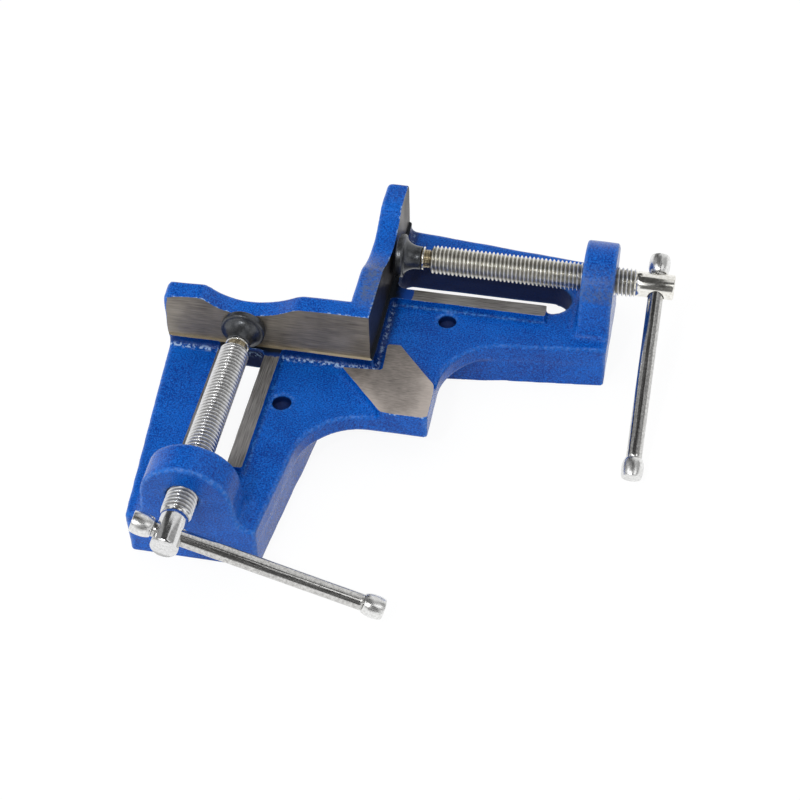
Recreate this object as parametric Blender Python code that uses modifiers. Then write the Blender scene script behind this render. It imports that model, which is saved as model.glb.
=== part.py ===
"""Corner clamp: one cast body with a right-angled fence, and two screws that press swivel pads against it.

The origin is on the base plane, under the corner where the two ground faces of the fence meet. +Z is up. The left
screw runs along Y with its handle at -Y, and the right screw runs along X with its handle at +X. The clamp is
symmetric about the upright plane x = -y, apart from the hand of its two threads, which are both right-handed.
"""

import math

import bmesh
import bpy
from mathutils import Matrix, Vector

# Fence
SCREW_OFFSET = 0.0608
FENCE_BEYOND_SCREW = 0.0387
FENCE_WALL = 0.0107
FENCE_TOP = 0.0558
FENCE_END_ROUND = 0.004
FENCE_EDGE_ROUND = 0.0016
FOOT_PROUD = 0.0015
SKIRT_PROUD = 0.0032
DIP_DEPTH = 0.0077
DIP_TOP_WIDTH = 0.046
DIP_FLOOR_WIDTH = 0.016
DIP_ROUND = 0.010

# Base and arms, measured from each screw's axis
BASE_TOP = 0.0249
BASE_BACK_LEDGE = 0.0008
BASE_EDGE_ROUND = 0.0015
ARM_LENGTH = 0.1103
ARM_OUTER_ROOT = 0.0391
ARM_OUTER_END = 0.0286
ARM_INNER_ROOT = 0.0363
ARM_INNER_END = 0.0313
ARM_CORNER_ROUND = 0.003
WEB_ARC_RADIUS = 0.0316
SKIRT_WALL = 0.006
ARM_PLATE_UNDERSIDE = 0.016
WEB_UNDERSIDE = 0.0155
SLOT_RIB_UNDERSIDE = 0.011
SLOT_RIB_WIDTH = 0.0055
TIP_ROUND = 0.003

# Ground beds that carry the work, all at the level where the fence's ground faces end
BED_HEIGHT = 0.0295
GRINDING_ALLOWANCE = 0.001
STRIP_WIDTH = 0.0073
OUTER_STRIP_WIDTH = 0.0026
STRIP_END = 0.0783
TIP_BED_REACH = 0.0328
TIP_BED_MARGIN = 0.001
TIP_BED_NOTCH = 0.0064
TIP_BED_WING = 0.0148

# Slots and mounting holes
SLOT_WIDTH = 0.0205
SLOT_START = 0.0032
SLOT_END = 0.0895
HOLE_DIAMETER = 0.009
HOLE_FROM_AXIS = 0.0244
HOLE_FROM_FENCE = 0.0311

# Threaded lugs
LUG_THICKNESS = 0.0157
LUG_RADIUS = 0.021
LUG_SHIFT = 0.0015
LUG_ARCH_HEIGHT = 0.040
LUG_FOOT_FLARE = 0.0025
LUG_EDGE_ROUND = 0.0015
LUG_INSET = 0.0003
LUG_ROOT = 0.008

# Screws
SCREW_HEIGHT = 0.042
SCREW_DIAMETER = 0.014
THREAD_PITCH = 0.002
THREAD_DEPTH = 0.0012
THREAD_RUN_OUT = 0.01
NECK_DIAMETER = 0.0087
NECK_LENGTH = 0.0044
BALL_DIAMETER = 0.01
BALL_FROM_MOUTH = 0.003
HEAD_DIAMETER = 0.0124
HEAD_LENGTH = 0.0185
HEAD_CHAMFER = 0.0007
CROSS_HOLE_FROM_END = 0.0085

# Swivel pads and the rings that close them
PAD_REST_GAP = 0.0021
PAD_LENGTH = 0.0118
PAD_DIAMETER = 0.0215
PAD_RIM = 0.0036
PAD_RIM_ROUND = 0.0006
PAD_MOUTH_DIAMETER = 0.0114
PAD_MOUTH_LAND = 0.0012
SOCKET_LIP = 0.00015
RING_THICKNESS = 0.001
RING_SETBACK = 0.0006

# Handle bars and their end knobs
BAR_DIAMETER = 0.0074
KNOB_SPAN = 0.106
KNOB_DIAMETER = 0.0104
KNOB_LENGTH = 0.009
KNOB_FLAT_DIAMETER = 0.0092
KNOB_SHOULDER_DIAMETER = 0.0086
SPIGOT_DIAMETER = 0.005
SPIGOT_LENGTH = 0.006
LEFT_KNOB_FROM_AXIS = 0.0121
RIGHT_KNOB_FROM_AXIS = 0.011
LEFT_LONG_KNOB_HEIGHT = 0.0114
RIGHT_LONG_KNOB_HEIGHT = 0.0062

# Clearances and mesh fineness
SEAT_GAP = 0.0003
BAR_HOLE_CLEARANCE = 0.00035
CUT_OVERRUN = 0.002
WELD = 0.000001
TURN_STEPS = 20
THREAD_STEPS = 14
ARC_STEPS = 6
CURVE_STEPS = 8
FULL_TURN = 2 * math.pi

# Length of each wing of the fence, from the corner
FENCE_LENGTH = SCREW_OFFSET + FENCE_BEYOND_SCREW

# Places along a screw, from the fence's ground face
PAD_MOUTH = PAD_REST_GAP + PAD_LENGTH
BALL_CENTRE = PAD_MOUTH - BALL_FROM_MOUTH
THREAD_START = PAD_MOUTH + NECK_LENGTH
THREAD_END = ARM_LENGTH + THREAD_RUN_OUT
THREAD_LENGTH = THREAD_END - THREAD_START
HEAD_END = THREAD_END + HEAD_LENGTH
BAR_PLACE = HEAD_END - CROSS_HOLE_FROM_END

# Each bar as it rests in its hole: both knobs' distance from the screw's axis, and how far the bar droops
SHORT_REACH = {"left": LEFT_KNOB_FROM_AXIS, "right": RIGHT_KNOB_FROM_AXIS}
LONG_REACH = {side: KNOB_SPAN - reach for side, reach in SHORT_REACH.items()}
LONG_KNOB_DROP = {"left": SCREW_HEIGHT - LEFT_LONG_KNOB_HEIGHT, "right": SCREW_HEIGHT - RIGHT_LONG_KNOB_HEIGHT}
BAR_DROOP = {side: math.asin(drop / LONG_REACH[side]) for side, drop in LONG_KNOB_DROP.items()}

# Local frame of each arm: along the screw away from the fence, across it towards the tip, and up
ARM_FRAMES = {
    "left": Matrix(((0, 1, 0, -SCREW_OFFSET), (-1, 0, 0, 0), (0, 0, 1, 0), (0, 0, 0, 1))),
    "right": Matrix(((1, 0, 0, 0), (0, -1, 0, SCREW_OFFSET), (0, 0, 1, 0), (0, 0, 0, 1))),
}


def new_collection(name):
    collection = bpy.data.collections.new(name)
    bpy.context.scene.collection.children.link(collection)
    return collection


for leftover in list(bpy.data.objects):
    bpy.data.objects.remove(leftover, do_unlink=True)
PARTS = new_collection("corner_clamp")
CUTTERS = new_collection("cutters")


def make_material(name, colour, roughness, metallic):
    material = bpy.data.materials.new(name)
    material.use_nodes = True
    shader = material.node_tree.nodes["Principled BSDF"]
    shader.inputs["Base Color"].default_value = (*colour, 1)
    shader.inputs["Roughness"].default_value = roughness
    shader.inputs["Metallic"].default_value = metallic
    return material


MATERIALS = {
    "blue_enamel": make_material("blue_enamel", (0.012, 0.085, 0.42), 0.35, 0),
    "zinc_plate": make_material("zinc_plate", (0.72, 0.72, 0.70), 0.25, 1),
    "black_oxide": make_material("black_oxide", (0.035, 0.038, 0.042), 0.3, 0.6),
    "bright_steel": make_material("bright_steel", (0.62, 0.61, 0.59), 0.18, 1),
}


def add_part(name, mesh, material):
    part = bpy.data.objects.new(name, mesh)
    mesh.materials.clear()
    mesh.materials.append(MATERIALS[material])
    PARTS.objects.link(part)
    return part


def add_guide(name, mesh):
    """A solid that is joined to a part or cut from it by a Boolean modifier."""
    guide = bpy.data.objects.new(name, mesh)
    guide.hide_render = True
    guide.display_type = "WIRE"
    CUTTERS.objects.link(guide)
    return guide


def boolean(part, guide, operation):
    modifier = part.modifiers.new(guide.name, "BOOLEAN")
    modifier.operation = operation
    modifier.solver = "EXACT"
    modifier.object = guide


def arc(centre, radius, start, stop, steps=ARC_STEPS):
    """Points on an arc from the angle start to the angle stop, in degrees."""
    angles = [math.radians(start + (stop - start) * i / steps) for i in range(steps + 1)]
    return [(centre[0] + radius * math.cos(t), centre[1] + radius * math.sin(t)) for t in angles]


def rounded(corners):
    """An outline whose corners, given as (x, y, radius), are rounded by arcs tangent to both sides."""
    outline = []
    for i, (x, y, radius) in enumerate(corners):
        here = Vector((x, y))
        if radius == 0:
            outline.append((x, y))
            continue
        before = (Vector(corners[i - 1][:2]) - here).normalized()
        after = (Vector(corners[(i + 1) % len(corners)][:2]) - here).normalized()
        half_angle = before.angle(after) / 2
        centre = here + (before + after).normalized() * radius / math.sin(half_angle)
        first = here + before * radius / math.tan(half_angle) - centre
        sweep = first.angle_signed(here + after * radius / math.tan(half_angle) - centre)
        for step in range(ARC_STEPS + 1):
            spoke = first.copy()
            spoke.rotate(Matrix.Rotation(-sweep * step / ARC_STEPS, 2))
            outline.append(tuple(centre + spoke))
    return outline


def extruded(name, outline, low, high, place=Matrix(), edge_round=0, both_rims=False):
    """A flat outline extruded from low to high along Z, its high rim or both rims rounded, then moved by place."""
    curve = bpy.data.curves.new(name, "CURVE")
    curve.dimensions = "2D"
    curve.fill_mode = "BOTH"
    curve.extrude = (high - low) / 2
    spline = curve.splines.new("POLY")
    spline.points.add(len(outline) - 1)
    for point, (x, y) in zip(spline.points, outline):
        point.co = (x, y, 0, 1)
    spline.use_cyclic_u = True
    sketch = bpy.data.objects.new(name, curve)
    bpy.context.scene.collection.objects.link(sketch)
    depsgraph = bpy.context.evaluated_depsgraph_get()
    mesh = bpy.data.meshes.new_from_object(sketch.evaluated_get(depsgraph))
    bpy.data.objects.remove(sketch, do_unlink=True)
    bpy.data.curves.remove(curve)
    shape = bmesh.new()
    shape.from_mesh(mesh)
    bmesh.ops.remove_doubles(shape, verts=shape.verts, dist=WELD)
    bmesh.ops.translate(shape, verts=shape.verts, vec=(0, 0, (low + high) / 2))
    bmesh.ops.recalc_face_normals(shape, faces=shape.faces)
    bmesh.ops.dissolve_limit(shape, angle_limit=math.radians(1), verts=shape.verts, edges=shape.edges)
    if edge_round:
        levels = (low, high) if both_rims else (high,)
        rim = [
            edge
            for level in levels
            for edge in shape.edges
            if all(abs(vertex.co.z - level) < WELD for vertex in edge.verts)
        ]
        bmesh.ops.bevel(shape, geom=rim, offset=edge_round, segments=2, profile=0.5, affect="EDGES")
    bmesh.ops.transform(shape, matrix=place, verts=shape.verts)
    bmesh.ops.recalc_face_normals(shape, faces=shape.faces)
    shape.to_mesh(mesh)
    shape.free()
    return mesh


def cylinder(name, radius, low, high, place):
    """A closed cylinder that runs from low to high along Z, then moved by place."""
    shape = bmesh.new()
    bmesh.ops.create_cone(
        shape,
        cap_ends=True,
        segments=TURN_STEPS,
        radius1=radius,
        radius2=radius,
        depth=high - low,
        matrix=place @ Matrix.Translation((0, 0, (low + high) / 2)),
    )
    bmesh.ops.recalc_face_normals(shape, faces=shape.faces)
    mesh = bpy.data.meshes.new(name)
    shape.to_mesh(mesh)
    shape.free()
    return mesh


def joined(name, meshes):
    """One mesh that holds several separate solids."""
    shape = bmesh.new()
    for mesh in meshes:
        shape.from_mesh(mesh)
    whole = bpy.data.meshes.new(name)
    shape.to_mesh(whole)
    shape.free()
    return whole


def mirror_across_clamp(points):
    """The same outline points on the other side of the plane x = -y, in reverse order."""
    return [(-y, -x) for x, y in reversed(points)]


def shared(points):
    return [(x, y, 0) for x, y in points]


def arm_edges(along):
    """The outer and the inner edge of an arm, across from its screw's axis, at a distance from the fence."""
    outer = ARM_OUTER_ROOT + (ARM_OUTER_END - ARM_OUTER_ROOT) * along / ARM_LENGTH
    web_joint = TIP_BED_REACH + TIP_BED_MARGIN + WEB_ARC_RADIUS
    slope = (ARM_INNER_ROOT - ARM_INNER_END) / (ARM_LENGTH - web_joint)
    return -outer, ARM_INNER_END + (ARM_LENGTH - along) * slope


def base_outline():
    """Plan of the base: two tapering arms, the concave web edges between them, and the pointed tip."""
    tip = TIP_BED_REACH + TIP_BED_MARGIN
    outer_end, inner_end = arm_edges(ARM_LENGTH)
    outer_root = arm_edges(0)[0]
    arc_centre = (-SCREW_OFFSET + ARM_INNER_ROOT + WEB_ARC_RADIUS, -tip - WEB_ARC_RADIUS)
    web_edge = arc(arc_centre, WEB_ARC_RADIUS, 90, 180, steps=2 * ARC_STEPS)
    back = FENCE_WALL + BASE_BACK_LEDGE
    arm = [
        (-SCREW_OFFSET + inner_end, -ARM_LENGTH, ARM_CORNER_ROUND),
        (-SCREW_OFFSET + outer_end, -ARM_LENGTH, ARM_CORNER_ROUND),
        (-SCREW_OFFSET + outer_root, 0, 0),
        (-SCREW_OFFSET + outer_root, back, ARM_CORNER_ROUND),
    ]
    mirrored_arm = [(-y, -x, r) for x, y, r in reversed(arm)]
    return rounded(
        [(tip, -tip, TIP_ROUND)]
        + shared(web_edge)
        + arm
        + [(-back, back, ARM_CORNER_ROUND)]
        + mirrored_arm
        + shared(mirror_across_clamp(web_edge))
    )


def underside_pockets():
    """The hollows under the arms, open at the back, and the hollow under the web between the arms' inner skirts."""
    pockets = []
    back = -FENCE_WALL - BASE_BACK_LEDGE - CUT_OVERRUN
    far = ARM_LENGTH - LUG_THICKNESS
    near_edges, far_edges = arm_edges(SKIRT_PROUD), arm_edges(far)
    for side, frame in ARM_FRAMES.items():
        pocket = [
            (back, near_edges[0] + SKIRT_WALL),
            (SKIRT_PROUD, near_edges[0] + SKIRT_WALL),
            (far, far_edges[0] + SKIRT_WALL),
            (far, far_edges[1] - SKIRT_WALL),
            (SKIRT_PROUD, near_edges[1] - SKIRT_WALL),
            (back, near_edges[1] - SKIRT_WALL),
        ]
        pockets.append(extruded(side + "_pocket", pocket, -CUT_OVERRUN, ARM_PLATE_UNDERSIDE, frame))
    beyond = ARM_LENGTH + CUT_OVERRUN
    rib = [
        (-SCREW_OFFSET + arm_edges(beyond)[1], -beyond),
        (-SCREW_OFFSET + near_edges[1], -SKIRT_PROUD),
    ]
    web = rib + [(SKIRT_PROUD, -SKIRT_PROUD)] + mirror_across_clamp(rib) + [(beyond, -beyond)]
    pockets.append(extruded("web_pocket", web, -CUT_OVERRUN, WEB_UNDERSIDE))
    return joined("underside_pockets", pockets)


def slot_ribs():
    """The ribs under each arm that stiffen its plate beside the slot, still joined where the slot will be cut."""
    ribs = []
    half = SLOT_WIDTH / 2 + SLOT_RIB_WIDTH
    span = (SLOT_START + SLOT_WIDTH / 4, ARM_LENGTH - LUG_THICKNESS + CUT_OVERRUN)
    top = ARM_PLATE_UNDERSIDE + CUT_OVERRUN
    for side, frame in ARM_FRAMES.items():
        rib = [(span[0], -half), (span[1], -half), (span[1], half), (span[0], half)]
        ribs.append(extruded(side + "_slot_rib", rib, SLOT_RIB_UNDERSIDE, top, frame))
    return joined("slot_ribs", ribs)


def fence_wing(side):
    """One wing of the fence: a wall whose top dips over the screw."""
    middle = SCREW_OFFSET
    floor = FENCE_TOP - DIP_DEPTH
    foot = (ARM_PLATE_UNDERSIDE + BASE_TOP) / 2
    profile = rounded(
        [
            (-FOOT_PROUD, foot, 0),
            (FENCE_LENGTH, foot, 0),
            (FENCE_LENGTH, FENCE_TOP, FENCE_END_ROUND),
            (middle + DIP_TOP_WIDTH / 2, FENCE_TOP, DIP_ROUND),
            (middle + DIP_FLOOR_WIDTH / 2, floor, DIP_ROUND),
            (middle - DIP_FLOOR_WIDTH / 2, floor, DIP_ROUND),
            (middle - DIP_TOP_WIDTH / 2, FENCE_TOP, DIP_ROUND),
            (-FOOT_PROUD, FENCE_TOP, 0),
        ]
    )
    # The outline's X runs along the wing from the corner, its Y is up, and its Z goes from the front to the back
    if side == "left":
        place = Matrix(((-1, 0, 0, 0), (0, 0, 1, 0), (0, 1, 0, 0), (0, 0, 0, 1)))
    else:
        place = Matrix(((0, 0, -1, 0), (1, 0, 0, 0), (0, 1, 0, 0), (0, 0, 0, 1)))
    return extruded(side + "_fence_wing", profile, -FOOT_PROUD, FENCE_WALL, place, FENCE_EDGE_ROUND)


def grinding():
    """What one pass of grinding takes off in front of the fence: its skin above the beds, and the beds' own skin."""
    far = FENCE_LENGTH + CUT_OVERRUN
    reach = (STRIP_END + ARM_LENGTH - LUG_THICKNESS) / 2
    half = [(-far, 0), (-far, -reach)]
    outline = half + [(reach, -reach)] + mirror_across_clamp(half) + [(0, 0)]
    return extruded("grinding", outline, BED_HEIGHT, FENCE_TOP + CUT_OVERRUN)


def lug(side):
    """The threaded lug that closes an arm: an arch whose foot flares into the arm's top."""
    foot = BASE_TOP - LUG_ROOT
    arch = arc((LUG_SHIFT, LUG_ARCH_HEIGHT), LUG_RADIUS, 0, 180, steps=3 * ARC_STEPS)
    half_foot = LUG_RADIUS + LUG_FOOT_FLARE
    outline = arch + [(LUG_SHIFT - half_foot, foot), (LUG_SHIFT + half_foot, foot)]
    # The outline's X is across the arm and its Y is up; its Z runs along the screw, away from the fence
    upright = Matrix(((0, 0, 1, 0), (1, 0, 0, 0), (0, 1, 0, 0), (0, 0, 0, 1)))
    span = (ARM_LENGTH - LUG_THICKNESS, ARM_LENGTH - LUG_INSET)
    return extruded(side + "_lug", outline, *span, ARM_FRAMES[side] @ upright, LUG_EDGE_ROUND, both_rims=True)


def work_beds():
    """The strips beside each slot and the bed on the tip, as cast."""
    low = BASE_TOP - CUT_OVERRUN
    high = BED_HEIGHT + GRINDING_ALLOWANCE
    beds = []
    for side, frame in ARM_FRAMES.items():
        for hand, width in ((1, STRIP_WIDTH), (-1, OUTER_STRIP_WIDTH)):
            inner, outer = hand * SLOT_WIDTH / 3, hand * (SLOT_WIDTH / 2 + width)
            strip = [(-STRIP_WIDTH, inner), (STRIP_END, inner), (STRIP_END, outer), (-STRIP_WIDTH, outer)]
            beds.append(extruded(side + "_strip", strip, low, high, frame))
    side_corner = TIP_BED_REACH - TIP_BED_WING - TIP_BED_NOTCH
    half = [(-TIP_BED_WING, -TIP_BED_NOTCH), (side_corner, -TIP_BED_REACH)]
    outline = (
        half
        + [(TIP_BED_REACH, -TIP_BED_REACH)]
        + mirror_across_clamp(half)
        + [(TIP_BED_NOTCH, -TIP_BED_NOTCH)]
    )
    beds.append(extruded("tip_bed", outline, low, high))
    return beds


def through_cuts():
    """The round-ended slots under the screws, the mounting holes, and the bores of the lugs."""
    cuts = []
    half = SLOT_WIDTH / 2
    bore_radius = SCREW_DIAMETER / 2 + SEAT_GAP
    sideways = Matrix(((0, 0, 1, 0), (1, 0, 0, 0), (0, 1, 0, SCREW_HEIGHT), (0, 0, 0, 1)))
    bore_span = (ARM_LENGTH - LUG_THICKNESS - CUT_OVERRUN, ARM_LENGTH + CUT_OVERRUN)
    for side, frame in ARM_FRAMES.items():
        slot = arc((SLOT_END - half, 0), half, -90, 90, steps=2 * ARC_STEPS)
        slot += arc((SLOT_START + half / 2, half / 2), half / 2, 90, 180)
        slot += arc((SLOT_START + half / 2, -half / 2), half / 2, 180, 270)
        cuts.append(extruded(side + "_slot", slot, -CUT_OVERRUN, BED_HEIGHT + CUT_OVERRUN, frame))
        hole_place = frame @ Matrix.Translation((HOLE_FROM_FENCE, HOLE_FROM_AXIS, 0))
        hole_span = (-CUT_OVERRUN, BASE_TOP + CUT_OVERRUN)
        cuts.append(cylinder(side + "_hole", HOLE_DIAMETER / 2, *hole_span, hole_place))
        cuts.append(cylinder(side + "_bore", bore_radius, *bore_span, frame @ sideways))
    return joined("through_cuts", cuts)


def make_cast_body():
    body = add_part(
        "cast_body",
        extruded("cast_body", base_outline(), 0, BASE_TOP, edge_round=BASE_EDGE_ROUND),
        "blue_enamel",
    )
    boolean(body, add_guide("underside_pockets", underside_pockets()), "DIFFERENCE")
    boolean(body, add_guide("slot_ribs", slot_ribs()), "UNION")
    for side in ARM_FRAMES:
        boolean(body, add_guide(side + "_fence_wing", fence_wing(side)), "UNION")
        boolean(body, add_guide(side + "_lug", lug(side)), "UNION")
    boolean(body, add_guide("work_beds", joined("work_beds", work_beds())), "UNION")
    boolean(body, add_guide("grinding", grinding()), "DIFFERENCE")
    boolean(body, add_guide("through_cuts", through_cuts()), "DIFFERENCE")
    return body


def turned(name, profile, material, closed=False, steps=TURN_STEPS):
    """A solid of revolution about Z: the profile's (radius, height) points run down its outer side."""
    mesh = bpy.data.meshes.new(name)
    edges = [(i, i + 1) for i in range(len(profile) - 1)]
    if closed:
        edges.append((len(profile) - 1, 0))
    mesh.from_pydata([(radius, 0, height) for radius, height in profile], edges, [])
    part = add_part(name, mesh, material)
    screw = part.modifiers.new("turn", "SCREW")
    screw.steps = steps
    screw.render_steps = steps
    screw.use_merge_vertices = True
    screw.merge_threshold = WELD
    screw.use_smooth_shade = True
    return part


def on_axis(part, carrier, along, tilt=None):
    """Sets a part on a screw's axis, at a distance from the fence."""
    part.parent = carrier
    part.location = (0, 0, along)
    if tilt is not None:
        part.rotation_euler = tilt
    return part


def screw_carrier(side):
    """An empty on the screw's axis at the fence: Z along the screw, X along the bar towards its short end."""
    carrier = bpy.data.objects.new(side + "_screw_axis", None)
    PARTS.objects.link(carrier)
    frame = ARM_FRAMES[side]
    away = frame.to_3x3() @ Vector((1, 0, 0))
    short_end = frame.to_3x3() @ Vector((0, -math.cos(BAR_DROOP[side]), math.sin(BAR_DROOP[side])))
    across = away.cross(short_end)
    turn = Matrix((short_end, across, away)).transposed()
    carrier.matrix_world = Matrix.Translation(frame @ Vector((0, 0, SCREW_HEIGHT))) @ turn.to_4x4()
    return carrier


def screw_rows():
    """Plain rings of the screw, as (radius, height) from its thread's start: those before and after the thread."""
    ball_radius, neck_radius = BALL_DIAMETER / 2, NECK_DIAMETER / 2
    ball = BALL_CENTRE - THREAD_START
    seat = math.degrees(math.asin(neck_radius / ball_radius))
    before = []
    for step in range(1, ARC_STEPS + 1):
        angle = math.radians((180 - seat) * step / ARC_STEPS)
        before.append((ball_radius * math.sin(angle), ball - ball_radius * math.cos(angle)))
    before.append((neck_radius, -THREAD_DEPTH / 2))
    head_radius, head_top = HEAD_DIAMETER / 2, THREAD_LENGTH + HEAD_LENGTH
    after = [
        (head_radius, THREAD_LENGTH + THREAD_DEPTH / 2),
        (head_radius, head_top - HEAD_CHAMFER),
        (head_radius - HEAD_CHAMFER, head_top),
    ]
    return ball - ball_radius, before, after, head_top


def thread_point(step, row):
    """A point of the right-handed thread: a crest on odd rows, a root on even ones, faded out at both ends."""
    height = (row / 2 + step / THREAD_STEPS - 1.5) * THREAD_PITCH
    crest, root = SCREW_DIAMETER / 2, SCREW_DIAMETER / 2 - THREAD_DEPTH
    radius = crest if row % 2 else root
    fade = min(height, THREAD_LENGTH - height)
    radius = min(radius, root + max(fade, 0))
    angle = FULL_TURN * step / THREAD_STEPS
    held = min(max(height, 0), THREAD_LENGTH)
    return (radius * math.cos(angle), radius * math.sin(angle), held)


def make_screw(side, carrier):
    """Ball, neck, threaded shank and plain head in one piece, with the cross hole for the bar."""
    shape = bmesh.new()
    low_pole, before, after, high_pole = screw_rows()

    def ring(radius, height):
        angles = [FULL_TURN * step / THREAD_STEPS for step in range(THREAD_STEPS)]
        return [shape.verts.new((radius * math.cos(t), radius * math.sin(t), height)) for t in angles]

    def skin(lower, upper):
        for i in range(THREAD_STEPS):
            j = (i + 1) % THREAD_STEPS
            shape.faces.new((lower[i], lower[j], upper[j], upper[i]))

    def cap(pole, rim):
        for i in range(THREAD_STEPS):
            shape.faces.new((pole, rim[i], rim[(i + 1) % THREAD_STEPS]))

    root = SCREW_DIAMETER / 2 - THREAD_DEPTH
    start, end = ring(root, 0), ring(root, THREAD_LENGTH)
    lower_rings = [ring(*row) for row in before] + [start]
    upper_rings = [end] + [ring(*row) for row in after]
    for rings in (lower_rings, upper_rings):
        for lower, upper in zip(rings, rings[1:]):
            skin(lower, upper)
    cap(shape.verts.new((0, 0, low_pole)), lower_rings[0])
    cap(shape.verts.new((0, 0, high_pole)), upper_rings[-1])
    rows = 2 * (math.ceil(THREAD_LENGTH / THREAD_PITCH) + 3)
    helix = [[shape.verts.new(thread_point(i, row)) for i in range(THREAD_STEPS)] for row in range(rows)]
    for row in range(rows - 3):
        for i in range(THREAD_STEPS):
            lower, upper = helix[row], helix[row + 1]
            if i + 1 < THREAD_STEPS:
                shape.faces.new((lower[i], lower[i + 1], upper[i + 1], upper[i]))
            else:
                shape.faces.new((lower[i], helix[row + 2][0], helix[row + 3][0], upper[i]))
    bmesh.ops.remove_doubles(shape, verts=shape.verts, dist=WELD)
    bmesh.ops.dissolve_degenerate(shape, dist=WELD, edges=shape.edges)
    loose = [v for v in shape.verts if not v.link_faces]
    bmesh.ops.delete(shape, geom=loose, context="VERTS")
    bmesh.ops.recalc_face_normals(shape, faces=shape.faces)
    mesh = bpy.data.meshes.new(side + "_clamp_screw")
    shape.to_mesh(mesh)
    shape.free()
    mesh.shade_smooth()
    mesh.set_sharp_from_angle(angle=math.radians(35))
    screw = on_axis(add_part(side + "_clamp_screw", mesh, "zinc_plate"), carrier, THREAD_START)
    hole_radius = BAR_DIAMETER / 2 + BAR_HOLE_CLEARANCE
    along_bar = Matrix(((0, 0, 1, 0), (1, 0, 0, 0), (0, 1, 0, BAR_PLACE - THREAD_START), (0, 0, 0, 1)))
    reach = HEAD_DIAMETER / 2 + CUT_OVERRUN
    drill = add_guide(side + "_cross_hole", cylinder(side + "_cross_hole", hole_radius, -reach, reach, along_bar))
    on_axis(drill, carrier, THREAD_START)
    boolean(screw, drill, "DIFFERENCE")


def make_pad(side, carrier):
    """The swivel pad: a flat disc with a concave flare back to the socket that holds the screw's ball."""
    ball = BALL_CENTRE
    face, mouth = PAD_REST_GAP - ball, PAD_MOUTH - ball
    socket = BALL_DIAMETER / 2 + SEAT_GAP
    throat = NECK_DIAMETER / 2 + SEAT_GAP + SOCKET_LIP
    throat_angle = math.asin(throat / socket)
    inside = [
        (socket * math.sin(t), -socket * math.cos(t))
        for t in [(math.pi - throat_angle) * i / CURVE_STEPS for i in range(CURVE_STEPS + 1)]
    ]
    mouth_radius, rim_radius = PAD_MOUTH_DIAMETER / 2, PAD_DIAMETER / 2
    rim_back = face + PAD_RIM
    flare_length = mouth - PAD_MOUTH_LAND - rim_back
    flare_drop = rim_radius - PAD_RIM_ROUND - mouth_radius
    flare = []
    for i in range(CURVE_STEPS + 1):
        angle = math.pi / 2 * (1 - i / CURVE_STEPS)
        out = flare_drop * (1 - math.sin(angle))
        flare.append((mouth_radius + out, rim_back + flare_length * (1 - math.cos(angle))))
    flare.sort()
    profile = inside + [(throat, mouth), (mouth_radius, mouth)] + flare
    profile += [
        (rim_radius, rim_back - PAD_RIM_ROUND),
        (rim_radius, face + PAD_RIM_ROUND),
        (rim_radius - PAD_RIM_ROUND, face),
        (0, face),
    ]
    on_axis(turned(side + "_swivel_pad", profile, "black_oxide"), carrier, ball)


def make_neck_ring(side, carrier):
    """The bright ring that sits loosely on the screw's neck and closes the pad's mouth."""
    bore = NECK_DIAMETER / 2 + SEAT_GAP
    rim = PAD_MOUTH_DIAMETER / 2
    round_off = RING_THICKNESS / 4
    low, high = RING_SETBACK, RING_SETBACK + RING_THICKNESS
    profile = [
        (bore, high),
        (rim - round_off, high),
        (rim, high - round_off),
        (rim, low + round_off),
        (rim - round_off, low),
        (bore, low),
    ]
    on_axis(turned(side + "_neck_ring", profile, "zinc_plate", closed=True), carrier, PAD_MOUTH)


def make_bar(side, carrier):
    """The handle bar, stepped down at each end for its knob; Z of the bar points to its short end."""
    half = KNOB_SPAN / 2 - KNOB_LENGTH / 2 - SEAT_GAP
    radius, spigot = BAR_DIAMETER / 2, SPIGOT_DIAMETER / 2
    profile = [
        (0, half + SPIGOT_LENGTH),
        (spigot, half + SPIGOT_LENGTH),
        (spigot, half),
        (radius, half),
        (radius, -half),
        (spigot, -half),
        (spigot, -half - SPIGOT_LENGTH),
        (0, -half - SPIGOT_LENGTH),
    ]
    bar = turned(side + "_tommy_bar", profile, "bright_steel")
    set_across(bar, carrier, SHORT_REACH[side] - KNOB_SPAN / 2, 1)


def make_knob(name, side, carrier, reach, facing):
    """A barrel knob on the bar's end: a shoulder by the bar, a full belly, a flat end, and a blind socket."""
    half = KNOB_LENGTH / 2
    shoulder, belly, flat = KNOB_SHOULDER_DIAMETER / 2, KNOB_DIAMETER / 2, KNOB_FLAT_DIAMETER / 2
    socket = SPIGOT_DIAMETER / 2 + SEAT_GAP
    floor = -half + SPIGOT_LENGTH
    ends = (flat, shoulder)
    side_points = []
    for i in range(CURVE_STEPS + 1):
        share = 1 - 2 * i / CURVE_STEPS
        end = ends[0] if share > 0 else ends[1]
        side_points.append((end + (belly - end) * math.sqrt(max(0, 1 - share**2)), half * share))
    profile = [(0, half)] + side_points + [(socket, -half), (socket, floor), (0, floor)]
    knob = turned(side + "_" + name, profile, "bright_steel")
    set_across(knob, carrier, reach, facing)


def set_across(part, carrier, reach, facing):
    """Sets a turned part along the bar's direction, its Z towards the short end (1) or the long end (-1)."""
    part.parent = carrier
    part.location = (reach, 0, BAR_PLACE)
    part.rotation_euler = (0, facing * math.pi / 2, 0)


make_cast_body()
for arm in ARM_FRAMES:
    axis = screw_carrier(arm)
    make_screw(arm, axis)
    make_pad(arm, axis)
    make_neck_ring(arm, axis)
    make_bar(arm, axis)
    make_knob("short_knob", arm, axis, SHORT_REACH[arm], 1)
    make_knob("long_knob", arm, axis, -LONG_REACH[arm], -1)
bpy.context.view_layer.update()
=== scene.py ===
import math

import bpy
import numpy as np
from mathutils import Matrix, Vector


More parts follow.
